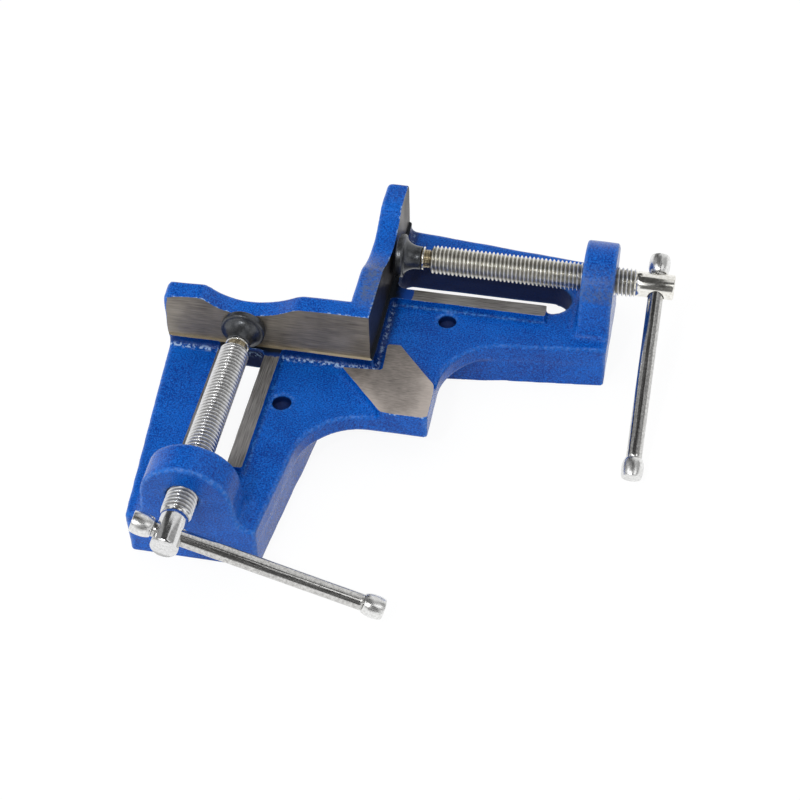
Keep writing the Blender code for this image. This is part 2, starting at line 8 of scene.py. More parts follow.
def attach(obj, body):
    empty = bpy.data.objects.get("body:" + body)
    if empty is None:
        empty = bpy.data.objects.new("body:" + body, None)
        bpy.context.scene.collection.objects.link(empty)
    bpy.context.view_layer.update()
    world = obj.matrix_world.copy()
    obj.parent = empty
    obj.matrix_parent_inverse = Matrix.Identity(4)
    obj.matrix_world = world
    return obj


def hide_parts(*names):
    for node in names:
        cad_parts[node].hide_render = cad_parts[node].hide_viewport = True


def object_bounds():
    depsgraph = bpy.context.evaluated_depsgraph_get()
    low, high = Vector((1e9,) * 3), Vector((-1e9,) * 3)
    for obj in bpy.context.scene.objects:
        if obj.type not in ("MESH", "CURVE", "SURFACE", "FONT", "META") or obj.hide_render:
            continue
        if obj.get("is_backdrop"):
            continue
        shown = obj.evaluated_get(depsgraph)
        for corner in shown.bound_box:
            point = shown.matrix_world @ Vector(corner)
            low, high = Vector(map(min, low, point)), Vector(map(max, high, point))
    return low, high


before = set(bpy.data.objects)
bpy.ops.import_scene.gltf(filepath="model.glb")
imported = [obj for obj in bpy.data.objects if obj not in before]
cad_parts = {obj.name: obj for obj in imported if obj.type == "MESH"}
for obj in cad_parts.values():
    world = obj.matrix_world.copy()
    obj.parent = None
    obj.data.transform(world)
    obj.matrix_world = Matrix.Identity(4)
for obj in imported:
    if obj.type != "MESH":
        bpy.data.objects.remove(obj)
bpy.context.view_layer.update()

# The casting
# One piece of grey iron, cast in sand: a base with two arms, a right-angled fence, and a lug on each arm for its
# screw. It is enamelled blue all over, then ground bare on the fence's faces and on the beds that carry the work.
SCREW_OFFSET = 0.0608
SCREW_HEIGHT = 0.042
BASE_TOP = 0.0249
BED_HEIGHT = 0.0295
ARM_LENGTH = 0.1103
FENCE_LENGTH = 0.0995
FENCE_TOP = 0.0557
FENCE_BACK = 0.0107
SKIN = 0.0015
CAST_FACET = 0.0012
LUG_FRONT = 0.0946
ROUGH_BED = 0.0315
STRIP_SIDES = (-0.0129, 0.0176)
STRIP_END = 0.0783
SLOT_HALF_WIDTH = 0.01025
SLOT_START = 0.0032
HOLE_FROM_FENCE = 0.0311
HOLE_FROM_AXIS = 0.0244
HOLE_RADIUS = 0.0045
BOSS_RADIUS = 0.009
LEFT_BOSS_FOOT = 0.0157
RIGHT_BOSS_FOOT = 0.0149
RIB_SIDE = 0.01575
RIB_FOOT = 0.0104


def arc_points(centre, radius, start, stop, steps):
    """Points on a circle from the angle start to the angle stop in degrees: centre + radius (cos, sin)."""
    angle = np.radians(np.linspace(start, stop, steps))
    return np.stack((centre[0] + radius * np.cos(angle), centre[1] + radius * np.sin(angle)), 1)


def mirrored_outline(points):
    """The outline on the other side of the clamp's plane of symmetry: (x, y) becomes (-y, -x), in reverse order."""
    return -points[::-1, ::-1]


# Plan of the base: tip, concave web edge, arm's end and sides, back corner; the other half is its mirror image
web_edge = arc_points((0.0071, -0.0654), 0.0316, 90, 180, 24)
arm_sides = np.array([(-0.0295, -ARM_LENGTH), (-0.0893, -ARM_LENGTH), (-0.0999, 0), (-0.0999, 0.0115)])
half_plan = np.concatenate(([(0.0338, -0.0338)], web_edge, arm_sides))
base_plan = np.concatenate((half_plan, [(-0.0115, 0.0115)], mirrored_outline(half_plan[1:])))

# Front view of a lug, across the arm and up: an arch that leans towards the tip, on a foot that widens downwards
lug_view = np.concatenate(
    (arc_points((0.0015, 0.0398), 0.0211, -4, 184, 30), [(-0.0236, 0.008), (0.0262, 0.008)])
)
arm_hollow = np.array(
    [
        (-0.0135, -0.0328),
        (SLOT_START, -0.0328),
        (LUG_FRONT, -0.0241),
        (LUG_FRONT, 0.0270),
        (SLOT_START, 0.0372),
        (-0.0135, 0.0372),
    ]
)
web_hollow_side = np.array([(-0.0176, -0.0032), (-0.0305, -0.121)])
web_hollow = np.concatenate(
    (web_hollow_side[::-1], [(0.0032, -0.0032)], mirrored_outline(web_hollow_side[::-1]), [(0.121, -0.121)])
)
tip_bed = np.array(
    [
        (-0.0118, -0.0081),
        (0.0116, -0.0335),
        (0.04, -0.04),
        (0.0335, -0.0125),
        (0.0126, 0.0112),
        (0.0066, 0.0107),
        (0.0074, -0.0068),
    ]
)


def outline_distance(a, b, outline):
    """Signed distance to a closed outline: least distance to an edge, negative where a ray crosses an odd number."""
    start, along = outline, np.roll(outline, -1, 0) - outline
    da, db = a[:, None] - start[:, 0], b[:, None] - start[:, 1]
    share = np.clip((da * along[:, 0] + db * along[:, 1]) / (along**2).sum(1), 0, 1)
    gap = (da - share * along[:, 0]) ** 2 + (db - share * along[:, 1]) ** 2
    end_b = start[:, 1] + along[:, 1]
    spans = (start[:, 1] > b[:, None]) != (end_b > b[:, None])
    slope = along[:, 0] / np.where(along[:, 1] == 0, 1e-12, along[:, 1])
    inside = (spans & (da < db * slope)).sum(1) % 2 == 1
    return np.sqrt(gap.min(1)) * np.where(inside, -1, 1)


def rounded_edge(a, b, radius):
    """What two solids share, outer edge rounded: the larger distance, with a circle of that radius in the corner."""
    return np.minimum(-radius, np.maximum(a, b)) + np.hypot(np.maximum(a + radius, 0), np.maximum(b + radius, 0))


def filleted_joint(a, b, radius):
    """Two solids joined by a fillet: the smaller distance, with a circle of that radius in the inner corner."""
    return np.maximum(radius, np.minimum(a, b)) - np.hypot(np.maximum(radius - a, 0), np.maximum(radius - b, 0))


def fence_height(along):
    """Top of the fence by the distance from its corner: level, with a hollow of two arcs over the screw's axis."""
    off = along - SCREW_OFFSET
    radius = np.where(off > 0, 0.030, 0.045)
    hollow = 0.048 + radius - np.sqrt(np.maximum(radius**2 - off**2, 0))
    level = FENCE_TOP + 0.0006 * np.clip(1 - along / 0.03, 0, 1) - 0.05 * np.clip(along - 0.083, 0, 1)
    level = level - 0.0025 + np.sqrt(np.maximum(0.0025**2 - np.clip(along - 0.0982, 0, 0.0025) ** 2, 0))
    blend = 0.0022
    share = np.clip(0.5 + 0.5 * (level - hollow) / blend, 0, 1)
    return level + (hollow - level) * share - blend * share * (1 - share)


def arm_place(points):
    """Right half laid over the left: x and y there, the way along the screw from the fence, the way across it."""
    right = points[:, 0] + points[:, 1] > 0
    x = np.where(right, -points[:, 1], points[:, 0])
    y = np.where(right, -points[:, 0], points[:, 1])
    return x, y, -y, x + SCREW_OFFSET


def slot_distance(u, v):
    """Signed distance to a slot's outline in plan: a round far end, and two rounded corners at the fence."""
    square_end = rounded_edge(np.abs(v) - SLOT_HALF_WIDTH, SLOT_START - u, 0.004)
    return np.where(u < 0.0082, square_end, np.hypot(np.maximum(u - 0.07925, 0), v) - SLOT_HALF_WIDTH)


def hole_distance(u, v, radius):
    """Signed distance to a circle round a hole's centre, or round its boss."""
    return np.hypot(u - HOLE_FROM_FENCE, v - HOLE_FROM_AXIS) - radius


def casting_distance(points):
    """Signed distance to the casting before grinding: the plan's walls, the stepped top, the hollows and holes."""
    x, y, u, v = arm_place(points)
    z = points[:, 2]
    on_left = points[:, 0] + points[:, 1] < 0
    raised, outer = on_left * np.clip((z - 0.030) / 0.022, 0, 1), np.clip((-x - 0.088) / 0.009, 0, 1)
    skin = SKIN * (1 - 0.87 * raised * outer)
    front = np.where(x > skin, np.hypot(x - skin, np.maximum(-y - skin, 0)), -y - skin)
    wall = rounded_edge(front, (z - fence_height(-x)) * 0.93, 0.0018)
    top = filleted_joint(z - BASE_TOP, wall, 0.003)
    lug = rounded_edge(outline_distance(v, z, lug_view), LUG_FRONT - u, 0.0013)
    top = filleted_joint(top, lug, 0.006)
    across = np.maximum(v - STRIP_SIDES[1], STRIP_SIDES[0] - v)
    strip = rounded_edge(np.maximum(across, np.maximum(-u, u - STRIP_END)), z - ROUGH_BED, 0.0005)
    top = filleted_joint(top, strip, 0.0016)
    bed = rounded_edge(outline_distance(points[:, 0], points[:, 1], tip_bed), z - ROUGH_BED, 0.0005)
    top = filleted_joint(top, bed, 0.0035)
    flare = np.where(on_left, 0.0008 + 0.00065 * raised, 0.0011) * np.clip((z - 0.0275) / 0.003, 0, 1)
    flare *= np.clip((-x - 0.092) / 0.005, 0, 1)
    plan = outline_distance(x, y, base_plan) - flare
    back = y - FENCE_BACK - 0.0008 * np.clip((0.030 - z) / 0.010, 0, 1)
    plan = np.maximum(plan, np.where(x < -y, back, -1))
    far_corner = rounded_edge(y - FENCE_BACK, -x - 0.101, 0.004)
    plan = np.maximum(plan, np.where(on_left | (z < 0.030), -1, far_corner))
    above, forward = np.clip((z - 0.0285) / 0.003, 0, 1), np.clip((u + 0.008) / 0.006, 0, 1)
    edge = 0.0015 + above * np.where(u > 0.05, -0.0003, 0.0003 + (0.0002 + 0.0015 * raised) * forward)
    body = np.maximum(rounded_edge(plan, top, edge), -0.003 - z)
    hollow = rounded_edge(outline_distance(u, v, arm_hollow), z - 0.016, 0.002)
    rib_start = np.where(on_left, SLOT_START, -0.004)
    rib = np.maximum(np.maximum(np.abs(v) - RIB_SIDE, rib_start - u), RIB_FOOT - z)
    boss_foot = np.where(on_left, LEFT_BOSS_FOOT, RIGHT_BOSS_FOOT)
    boss = np.maximum(hole_distance(u, v, BOSS_RADIUS), boss_foot - z)
    body = rounded_edge(body, -np.maximum(hollow, -np.minimum(rib, boss)), 0.0012)
    hollow = rounded_edge(outline_distance(x, y, web_hollow), z - 0.0155, 0.002)
    body = rounded_edge(body, -hollow, 0.0012)
    body = rounded_edge(body, -slot_distance(u, v), 0.0007)
    body = rounded_edge(body, -hole_distance(u, v, HOLE_RADIUS), 0.0006)
    bore = np.maximum(np.hypot(v, z - SCREW_HEIGHT) - 0.0073, 0.085 - u)
    return rounded_edge(body, -bore, 0.0005)


def cast_skin(points):
    """Slow swells of sand-cast skin: a sum of five plane waves, 9 to 26 mm long and a few hundredths of a mm high."""
    waves = np.random.default_rng(4).normal(size=(5, 3))
    waves *= (2 * np.pi / np.linspace(0.009, 0.026, 5) / np.linalg.norm(waves, axis=1))[:, None]
    return 0.00004 * np.sin(points @ waves.T + np.arange(5)).sum(1)


def settle_on(points, distance, rounds=3, step=0.00005):
    """Moves points onto the surface of zero distance: Newton's rule along the gradient, by forward differences."""
    for _ in range(rounds):
        here = distance(points)
        slope = np.stack([distance(points + step * axis) - here for axis in np.eye(3)], 1) / step
        points = points - slope * (here / np.maximum((slope**2).sum(1), 0.25))[:, None]
    return points


def evened(values, edges):
    """Each point's values moved to the mean of its neighbours' along the mesh's edges."""
    total, count = np.zeros_like(values), np.bincount(edges.ravel(), minlength=len(values))
    for a, b in ((0, 1), (1, 0)):
        for axis in range(values.shape[1]):
            total[:, axis] += np.bincount(edges[:, a], values[edges[:, b], axis], len(values))
    return total / count[:, None]


def mesh_of(name, points, faces):
    """A mesh object at the origin from an array of points and an array or list of faces."""
    mesh = bpy.data.meshes.new(name)
    mesh.from_pydata(points.tolist(), [], faces.tolist() if isinstance(faces, np.ndarray) else faces)
    mesh.update()
    piece = bpy.data.objects.new(name, mesh)
    bpy.context.scene.collection.objects.link(piece)
    return piece


def block_of(outline, low, high):
    """A closed block: the outline at two heights, with a wall of quads between them."""
    count = len(outline)
    points = np.concatenate([np.column_stack((outline, np.full(count, height))) for height in (low, high)])
    index = np.arange(count)
    after = (index + 1) % count
    walls = np.stack((index, after, after + count, index + count), 1).tolist()
    return points, [index[::-1].tolist(), (index + count).tolist()] + walls


def applied(piece):
    """Replaces a piece's mesh by what its modifiers make of it."""
    made = bpy.data.meshes.new_from_object(piece.evaluated_get(bpy.context.evaluated_depsgraph_get()))
    made.materials.clear()
    piece.modifiers.clear()
    piece.data = made
    return piece


def mesh_array(items, attribute, width, kind=np.float64):
    """One attribute of a mesh's vertices, edges or faces as an array with that many columns."""
    values = np.empty(len(items) * width, kind)
    items.foreach_get(attribute, values)
    return values.reshape(-1, width)


def cut_by(piece, cutter):
    """Cuts one closed mesh out of another for good, and takes the cutter away."""
    cut = piece.modifiers.new("cut", "BOOLEAN")
    cut.operation = "DIFFERENCE"
    cut.solver = "MANIFOLD"
    cut.object = cutter
    applied(piece)
    bpy.data.objects.remove(cutter)


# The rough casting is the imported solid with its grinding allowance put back, and blocks for the ribs' ends and the
# bosses under the holes; it is remeshed evenly and settled on its shape
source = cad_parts["cast_body"].data
rough_points = [mesh_array(source.vertices, "co", 3)]
rough_faces = [[list(face.vertices) for face in source.polygons]]
half_front = np.array([(-FENCE_LENGTH, 0.002), (-FENCE_LENGTH, -SKIN)])
front_block = np.concatenate((half_front, [(SKIN, -SKIN)], mirrored_outline(half_front), [(-0.002, 0.002)]))
allowances = [(front_block, 0.02, 0.05), (tip_bed[[0, 1, 3, 4, 5, 6]], 0.02, ROUGH_BED)]
for near, far in ((STRIP_SIDES[0], -0.006), (0.006, STRIP_SIDES[1])):
    left, right = near - SCREW_OFFSET, far - SCREW_OFFSET
    strip_plan = np.array([(left, -STRIP_END), (right, -STRIP_END), (right, 0), (left, 0)])
    allowances += [(strip_plan, 0.02, ROUGH_BED), (mirrored_outline(strip_plan), 0.02, ROUGH_BED)]
for near, far in ((-0.0155, -0.0105), (0.0105, 0.0155)):
    left, right = near - SCREW_OFFSET, far - SCREW_OFFSET
    rib_root = np.array([(left, -0.0095), (right, -0.0095), (right, -0.0035), (left, -0.0035)])
    allowances += [(rib_root, 0.0112, 0.02), (mirrored_outline(rib_root), 0.0112, 0.02)]
hole_boss = np.array([(-0.0434, -0.0381), (-0.0294, -0.0381), (-0.0294, -0.0241), (-0.0434, -0.0241)])
cross_rib = np.array([(-0.0035, 0.0453), (0.004, 0.0453), (0.004, 0.0763), (-0.0035, 0.0763)])
cross_rib = np.column_stack((-cross_rib[:, 0], cross_rib[:, 1]))[::-1]
allowances += [
    (hole_boss, LEFT_BOSS_FOOT, 0.02),
    (mirrored_outline(hole_boss), 0.015, 0.02),
    (cross_rib, 0.0106, 0.02),
]
for plan, low, high in allowances:
    block_points, block_faces = block_of(plan, low, high)
    offset = sum(len(points) for points in rough_points)
    rough_points.append(block_points)
    rough_faces.append([[index + offset for index in face] for face in block_faces])
casting = mesh_of("casting", np.concatenate(rough_points), sum(rough_faces, []))
weld = casting.modifiers.new("weld", "WELD")
weld.merge_threshold = 0.000002
remesh = casting.modifiers.new("remesh", "REMESH")
remesh.mode = "VOXEL"
remesh.voxel_size = CAST_FACET
applied(casting)
shape = mesh_array(casting.data.vertices, "co", 3)
edges = mesh_array(casting.data.edges, "vertices", 2, np.int32)
shape = evened(evened(shape, edges), edges)
shape = settle_on(shape, casting_distance, rounds=4)
for _ in range(3):
    shape = settle_on(evened(shape, edges), casting_distance, rounds=1)
shape = settle_on(shape, lambda points: casting_distance(points) + cast_skin(points), rounds=2)
casting.data.vertices.foreach_set("co", shape.ravel())
casting.data.update()

# One grinding pass takes the skin off the front of the fence and off the beds, and leaves them flat and sharp-edged
grind_side = np.array([(-0.11, 0), (-0.11, -0.0865)])
grind_plan = np.concatenate((grind_side, [(0.0865, -0.0865)], mirrored_outline(grind_side), [(0, 0)]))
cut_by(casting, mesh_of("grinding_wheel_path", *block_of(grind_plan, BED_HEIGHT, 0.07)))
floor_plan = np.array([(-0.2, -0.2), (0.2, -0.2), (0.2, 0.2), (-0.2, 0.2)])
cut_by(casting, mesh_of("under_the_base", *block_of(floor_plan, -0.02, 0.0)))

# Faces in the grinding planes are bare iron: the beds, and the left and right face of the fence
middle = mesh_array(casting.data.polygons, "center", 3)
facing = mesh_array(casting.data.polygons, "normal", 3)
bed_faces = (np.abs(middle[:, 2] - BED_HEIGHT) < 0.00003) & (facing[:, 2] > 0.99)
left_face = (np.abs(middle[:, 1]) < 0.00003) & (facing[:, 1] < -0.99) & (middle[:, 2] > BED_HEIGHT)
right_face = (np.abs(middle[:, 0]) < 0.00003) & (facing[:, 0] > 0.99) & (middle[:, 2] > BED_HEIGHT)
bare = bed_faces | left_face | right_face
kind = np.select([left_face, right_face, bed_faces], [1, 2, 3], 0)
casting.data.polygons.foreach_set("use_smooth", ~bare)
casting.data.polygons.foreach_set("material_index", kind.astype(np.int32))

# Points where bare iron meets enamel, points inside the slots and holes, on the fence's foot, and on its fillet: the
# enamel has painted shade inside the slots and holes and on the foot, and painted highlights on the fillet
shape = mesh_array(casting.data.vertices, "co", 3)
loop_face = np.repeat(np.arange(len(bare)), mesh_array(casting.data.polygons, "loop_total", 1, np.int32)[:, 0])
loop_point = mesh_array(casting.data.loops, "vertex_index", 1, np.int32)[:, 0]
touches_bare = np.bincount(loop_point, bare[loop_face], len(shape)) > 0
touches_enamel = np.bincount(loop_point, ~bare[loop_face], len(shape)) > 0
x, y, u, v = arm_place(shape)
z = shape[:, 2]
in_slot = np.clip((0.001 - np.abs(slot_distance(u, v))) / 0.0006, 0, 1) * np.clip((0.0287 - z) / 0.001, 0, 1)
in_hole = np.clip((0.001 - np.abs(hole_distance(u, v, HOLE_RADIUS))) / 0.0006, 0, 1)
in_hole *= np.clip((0.0242 - z) / 0.001, 0, 1)
foot_width = np.where(shape[:, 0] + shape[:, 1] > 0, 0.0072, 0.0048)
foot = np.clip((foot_width - u) / 0.003, 0, 1) * np.clip((z - 0.0243) / 0.0004, 0, 1) * (z < 0.0296) * (u > -0.0001)
fillet = np.exp(-((((u - 0.0033) / 0.0009) ** 2) + ((z - 0.0252) / 0.0012) ** 2))
fillet *= np.where(shape[:, 0] + shape[:, 1] > 0, 0.4, 0.9)
for name, mask in (
    ("bare_rim", touches_bare & touches_enamel),
    ("inside", np.maximum(in_slot, in_hole)),
    ("foot", foot),
    ("foot_fillet", fillet),
):
    stored = casting.data.attributes.new(name, "FLOAT", "POINT")
    stored.data.foreach_set("value", mask.astype(np.float32))

# How far each point stands out of its neighbours' plane tells the outer edges from the inner corners: the enamel is
# paler on outer edges, as worn paint and as a painted highlight, and has painted shade and painted glints in inner
# corners
edges = mesh_array(casting.data.edges, "vertices", 2, np.int32)
outward = mesh_array(casting.data.vertices, "normal", 3)
lean = np.zeros((len(shape), 1))
away = shape[edges[:, 0]] - shape[edges[:, 1]]
away /= np.maximum(np.linalg.norm(away, axis=1), 1e-9)[:, None]
for end, sign in ((0, 1), (1, -1)):
    stand = sign * (away * outward[edges[:, end]]).sum(1)
    lean[:, 0] += np.bincount(edges[:, end], stand, len(shape))
lean /= np.maximum(np.bincount(edges.ravel(), minlength=len(shape)), 1)[:, None]
for name, sign in (("outer_edge", 1), ("inner_corner", -1)):
    strength = np.clip((sign * lean - 0.06) / 0.22, 0, 1)
    mask = casting.data.attributes.new(name, "FLOAT", "POINT")
    mask.data.foreach_set("value", (0.6 * strength + 0.4 * evened(strength, edges)).astype(np.float32).ravel())


def node_in(tree, kind, inputs=(), **settings):
    """Adds a node to a material or group; inputs is pairs of an input's name or number and a value or a socket."""
    node = tree.nodes.new(kind)
    for name, value in settings.items():
        setattr(node, name, value)
    for name, value in inputs:
        if isinstance(value, bpy.types.NodeSocket):
            tree.links.new(value, node.inputs[name])
        else:
            node.inputs[name].default_value = value
    return node


def shifted(tree, value, low, high, to_low, to_high):
    """A value carried from one range to another and held inside it."""
    settings = [("Value", value), ("From Min", low), ("From Max", high), ("To Min", to_low), ("To Max", to_high)]
    return node_in(tree, "ShaderNodeMapRange", settings).outputs[0]


def times(tree, first, second, operation="MULTIPLY"):
    """Two values multiplied, or joined by another sum."""
    return node_in(tree, "ShaderNodeMath", [(0, first), (1, second)], operation=operation).outputs[0]


def colour_between(tree, share, first, second):
    """The first colour where share is 0, the second where it is 1."""
    return node_in(tree, "ShaderNodeMix", [(0, share), (6, first), (7, second)], data_type="RGBA").outputs[2]


def new_finish(name, colour, metallic, roughness):
    """A material with one Principled shader, and the tree, shader and Object coordinates to build it from."""
    finish = bpy.data.materials.new(name)
    finish.use_nodes = True
    tree = finish.node_tree
    shader = tree.nodes["Principled BSDF"]
    shader.inputs["Base Color"].default_value = (*colour, 1)
    shader.inputs["Metallic"].default_value = metallic
    shader.inputs["Roughness"].default_value = roughness
    return finish, tree, shader, node_in(tree, "ShaderNodeTexCoord").outputs["Object"]


def new_effect(name, inputs, outputs):
    """A node group with inputs (name, kind, default) and outputs (name, kind), its tree and its two end nodes."""
    effect = bpy.data.node_groups.new(name, "ShaderNodeTree")
    for title, kind, default in inputs:
        socket = effect.interface.new_socket(title, in_out="INPUT", socket_type=kind)
        if default is not None:
            socket.default_value = default
    for title, kind in outputs:
        effect.interface.new_socket(title, in_out="OUTPUT", socket_type=kind)
    return effect, effect.nodes.new("NodeGroupInput"), effect.nodes.new("NodeGroupOutput")


# Pitted and mottled skin: coarse and fine noise summed into a height, and the same with a slow drift as a tone
skin_effect, given, made = new_effect(
    "mottled_skin",
    [("Vector", "NodeSocketVector", None), ("Grain", "NodeSocketFloat", 900.0), ("Drift", "NodeSocketFloat", 40.0)],
    [("Height", "NodeSocketFloat"), ("Tone", "NodeSocketFloat")],
)
coarse = node_in(skin_effect, "ShaderNodeTexNoise", [("Vector", given.outputs["Vector"]), ("Detail", 3.0)])
skin_effect.links.new(given.outputs["Grain"], coarse.inputs["Scale"])
fine_scale = times(skin_effect, given.outputs["Grain"], 2.3)
fine = node_in(
    skin_effect, "ShaderNodeTexNoise", [("Vector", given.outputs["Vector"]), ("Scale", fine_scale), ("Detail", 2.0)]
)
drift = node_in(skin_effect, "ShaderNodeTexNoise", [("Vector", given.outputs["Vector"]), ("Detail", 2.0)])
skin_effect.links.new(given.outputs["Drift"], drift.inputs["Scale"])
fine_share = times(skin_effect, fine.outputs[0], 0.35)
height = times(skin_effect, times(skin_effect, coarse.outputs[0], 0.65), fine_share, "ADD")
skin_effect.links.new(height, made.inputs["Height"])
tone = times(skin_effect, times(skin_effect, height, 0.85), times(skin_effect, drift.outputs[0], 0.15), "ADD")
skin_effect.links.new(shifted(skin_effect, tone, 0.40, 0.60, 0.0, 1.0), made.inputs["Tone"])


def skin_of(tree, vector, grain, drift_scale):
    """The mottled skin placed in a material with its own grain, in bumps per metre."""
    group = node_in(tree, "ShaderNodeGroup", node_tree=skin_effect)
    tree.links.new(vector, group.inputs["Vector"])
    group.inputs["Grain"].default_value = grain
    group.inputs["Drift"].default_value = drift_scale
    return group


# Enamel: deep blue with the orange peel of thick brushed paint; pale on outer edges, partly worn thin and partly a
# painted highlight; painted shade in inner corners, inside the slots and holes and on the fence's foot; pale chips at
# its bare rims, painted glints in its fillets and inner corners, and a greyer patch on the fence's top near the
# corner
enamel, tree, shader, place = new_finish("blue_enamel", (0.0, 0.085, 0.44), 0.0, 0.3)
shader.inputs["Specular IOR Level"].default_value = 0.2
peel = skin_of(tree, place, 1250.0, 60.0)
masks = {
    name: node_in(tree, "ShaderNodeAttribute", attribute_name=name).outputs["Fac"]
    for name in ("outer_edge", "inner_corner", "bare_rim", "inside", "foot", "foot_fillet")
}
blue = colour_between(tree, peel.outputs["Tone"], (0.0, 0.032, 0.245, 1), (0.004, 0.148, 0.65, 1))
# Painted shade: near-black blue in the inner corners, inside the slots and holes and on the fence's foot
painted_shade = times(tree, times(tree, masks["inner_corner"], 0.7), times(tree, masks["inside"], 0.92), "MAXIMUM")
painted_shade = times(tree, painted_shade, times(tree, masks["foot"], 0.75), "MAXIMUM")
blue = colour_between(tree, painted_shade, blue, (0.0, 0.007, 0.06, 1))
# Paler on outer edges and along the bare rims: partly thin, worn paint, partly a painted highlight on the edges
edge_wear_and_sheen = shifted(tree, masks["outer_edge"], 0.12, 0.8, 0.0, 0.6)
edge_wear_and_sheen = times(tree, edge_wear_and_sheen, times(tree, masks["bare_rim"], 0.4), "MAXIMUM")
blue = colour_between(tree, edge_wear_and_sheen, blue, (0.03, 0.19, 0.66, 1))
# Pale flecks: real paint chips at the bare rims, and painted highlights in the fence's foot fillet and on outer edges
chips_and_fillet_sheen = times(tree, times(tree, masks["bare_rim"], 0.9), masks["foot_fillet"], "MAXIMUM")
chips_and_fillet_sheen = times(tree, chips_and_fillet_sheen, times(tree, masks["outer_edge"], 0.15), "MAXIMUM")
# Painted glints: bright azure flecks in the inner corners, kept out of the slots, holes and the fence's foot
painted_glints = times(tree, times(tree, masks["inner_corner"], 0.7), times(tree, 1.0, masks["inside"], "SUBTRACT"))
painted_glints = times(tree, painted_glints, times(tree, 1.0, masks["foot"], "SUBTRACT"))
clusters = node_in(tree, "ShaderNodeTexNoise", [("Vector", place), ("Scale", 620.0), ("Detail", 4.0)]).outputs[0]
flecks = shifted(tree, clusters, 0.50, 0.58, 0.0, 1.0)
blue = colour_between(tree, times(tree, painted_glints, flecks), blue, (0.06, 0.36, 0.95, 1))
blue = colour_between(tree, times(tree, chips_and_fillet_sheen, flecks), blue, (0.46, 0.64, 0.88, 1))
# A greyer patch on the right wing of the fence's top, near the corner
spot = node_in(tree, "ShaderNodeSeparateXYZ", [(0, place)])
near_corner = shifted(tree, spot.outputs["Y"], 0.036, 0.054, 1.0, 0.0)
near_corner = times(tree, near_corner, shifted(tree, spot.outputs["Y"], 0.004, 0.016, 0.0, 1.0))
on_top = shifted(tree, spot.outputs["Z"], 0.0450, 0.0470, 0.0, 1.0)
on_top = times(tree, on_top, shifted(tree, spot.outputs["X"], -0.0105, -0.0060, 0.0, 1.0))
tone_patch = times(tree, times(tree, near_corner, on_top), shifted(tree, clusters, 0.40, 0.58, 0.25, 0.75))
blue = colour_between(tree, tone_patch, blue, (0.10, 0.125, 0.17, 1))
tree.links.new(blue, shader.inputs["Base Color"])
gloss = shifted(tree, peel.outputs["Height"], 0.3, 0.7, 0.16, 0.28)
tree.links.new(times(tree, gloss, times(tree, masks["inside"], 0.4), "ADD"), shader.inputs["Roughness"])
height = peel.outputs["Height"]
bump = node_in(tree, "ShaderNodeBump", [("Height", height), ("Strength", 1.0), ("Distance", 0.00025)])
tree.links.new(bump.outputs[0], shader.inputs["Normal"])
casting.data.materials.append(enamel)

# Grinding marks: noise drawn out into long lines, with blotches where the wheel left the iron darker
lines_effect, given, made = new_effect(
    "grinding_marks",
    [("Lines Vector", "NodeSocketVector", None), ("Vector", "NodeSocketVector", None)],
    [("Lines", "NodeSocketFloat"), ("Blotches", "NodeSocketFloat")],
)
drawn = node_in(
    lines_effect, "ShaderNodeTexNoise", [("Vector", given.outputs["Lines Vector"]), ("Scale", 1.0), ("Detail", 4.0)]
)
blotch = node_in(
    lines_effect, "ShaderNodeTexNoise", [("Vector", given.outputs["Vector"]), ("Scale", 55.0), ("Detail", 5.0)]
)
lines_effect.links.new(shifted(lines_effect, drawn.outputs[0], 0.3, 0.7, 0.0, 1.0), made.inputs["Lines"])
lines_effect.links.new(shifted(lines_effect, blotch.outputs[0], 0.32, 0.68, 0.0, 1.0), made.inputs["Blotches"])


def ground_finish(name, dark, light, turn, stretch, metallic=1.0):
    """Ground bare iron: lines drawn out along one axis of the mapping, tone by lines and blotches, a fine bump."""
    finish, tree, shader, place = new_finish(name, light, metallic, 0.45)
    turned = node_in(tree, "ShaderNodeMapping", [("Vector", place), ("Rotation", turn), ("Scale", stretch)])
    group = node_in(tree, "ShaderNodeGroup", node_tree=lines_effect)
    tree.links.new(turned.outputs[0], group.inputs["Lines Vector"])
    tree.links.new(place, group.inputs["Vector"])
    tone = times(tree, times(tree, group.outputs["Lines"], 0.55), times(tree, group.outputs["Blotches"], 0.45), "ADD")
    tree.links.new(colour_between(tree, tone, (*dark, 1), (*light, 1)), shader.inputs["Base Color"])
    tree.links.new(shifted(tree, group.outputs["Blotches"], 0.0, 1.0, 0.52, 0.38), shader.inputs["Roughness"])
    height = group.outputs["Lines"]
    bump = node_in(tree, "ShaderNodeBump", [("Height", height), ("Strength", 0.35), ("Distance", 0.00006)])
    tree.links.new(bump.outputs[0], shader.inputs["Normal"])
    return finish


# The two fence faces are the same ground iron as a lit and a shaded copy: the right face's dark colours are painted
# shade
for title, dark, light, metallic in (
    ("ground_left_face", (0.08, 0.068, 0.053), (0.33, 0.292, 0.24), 0.15),
    ("ground_right_face", (0.045, 0.042, 0.042), (0.13, 0.12, 0.115), 1.0),
):
    casting.data.materials.append(ground_finish(title, dark, light, (0, 0, 0), (90, 90, 1500), metallic))

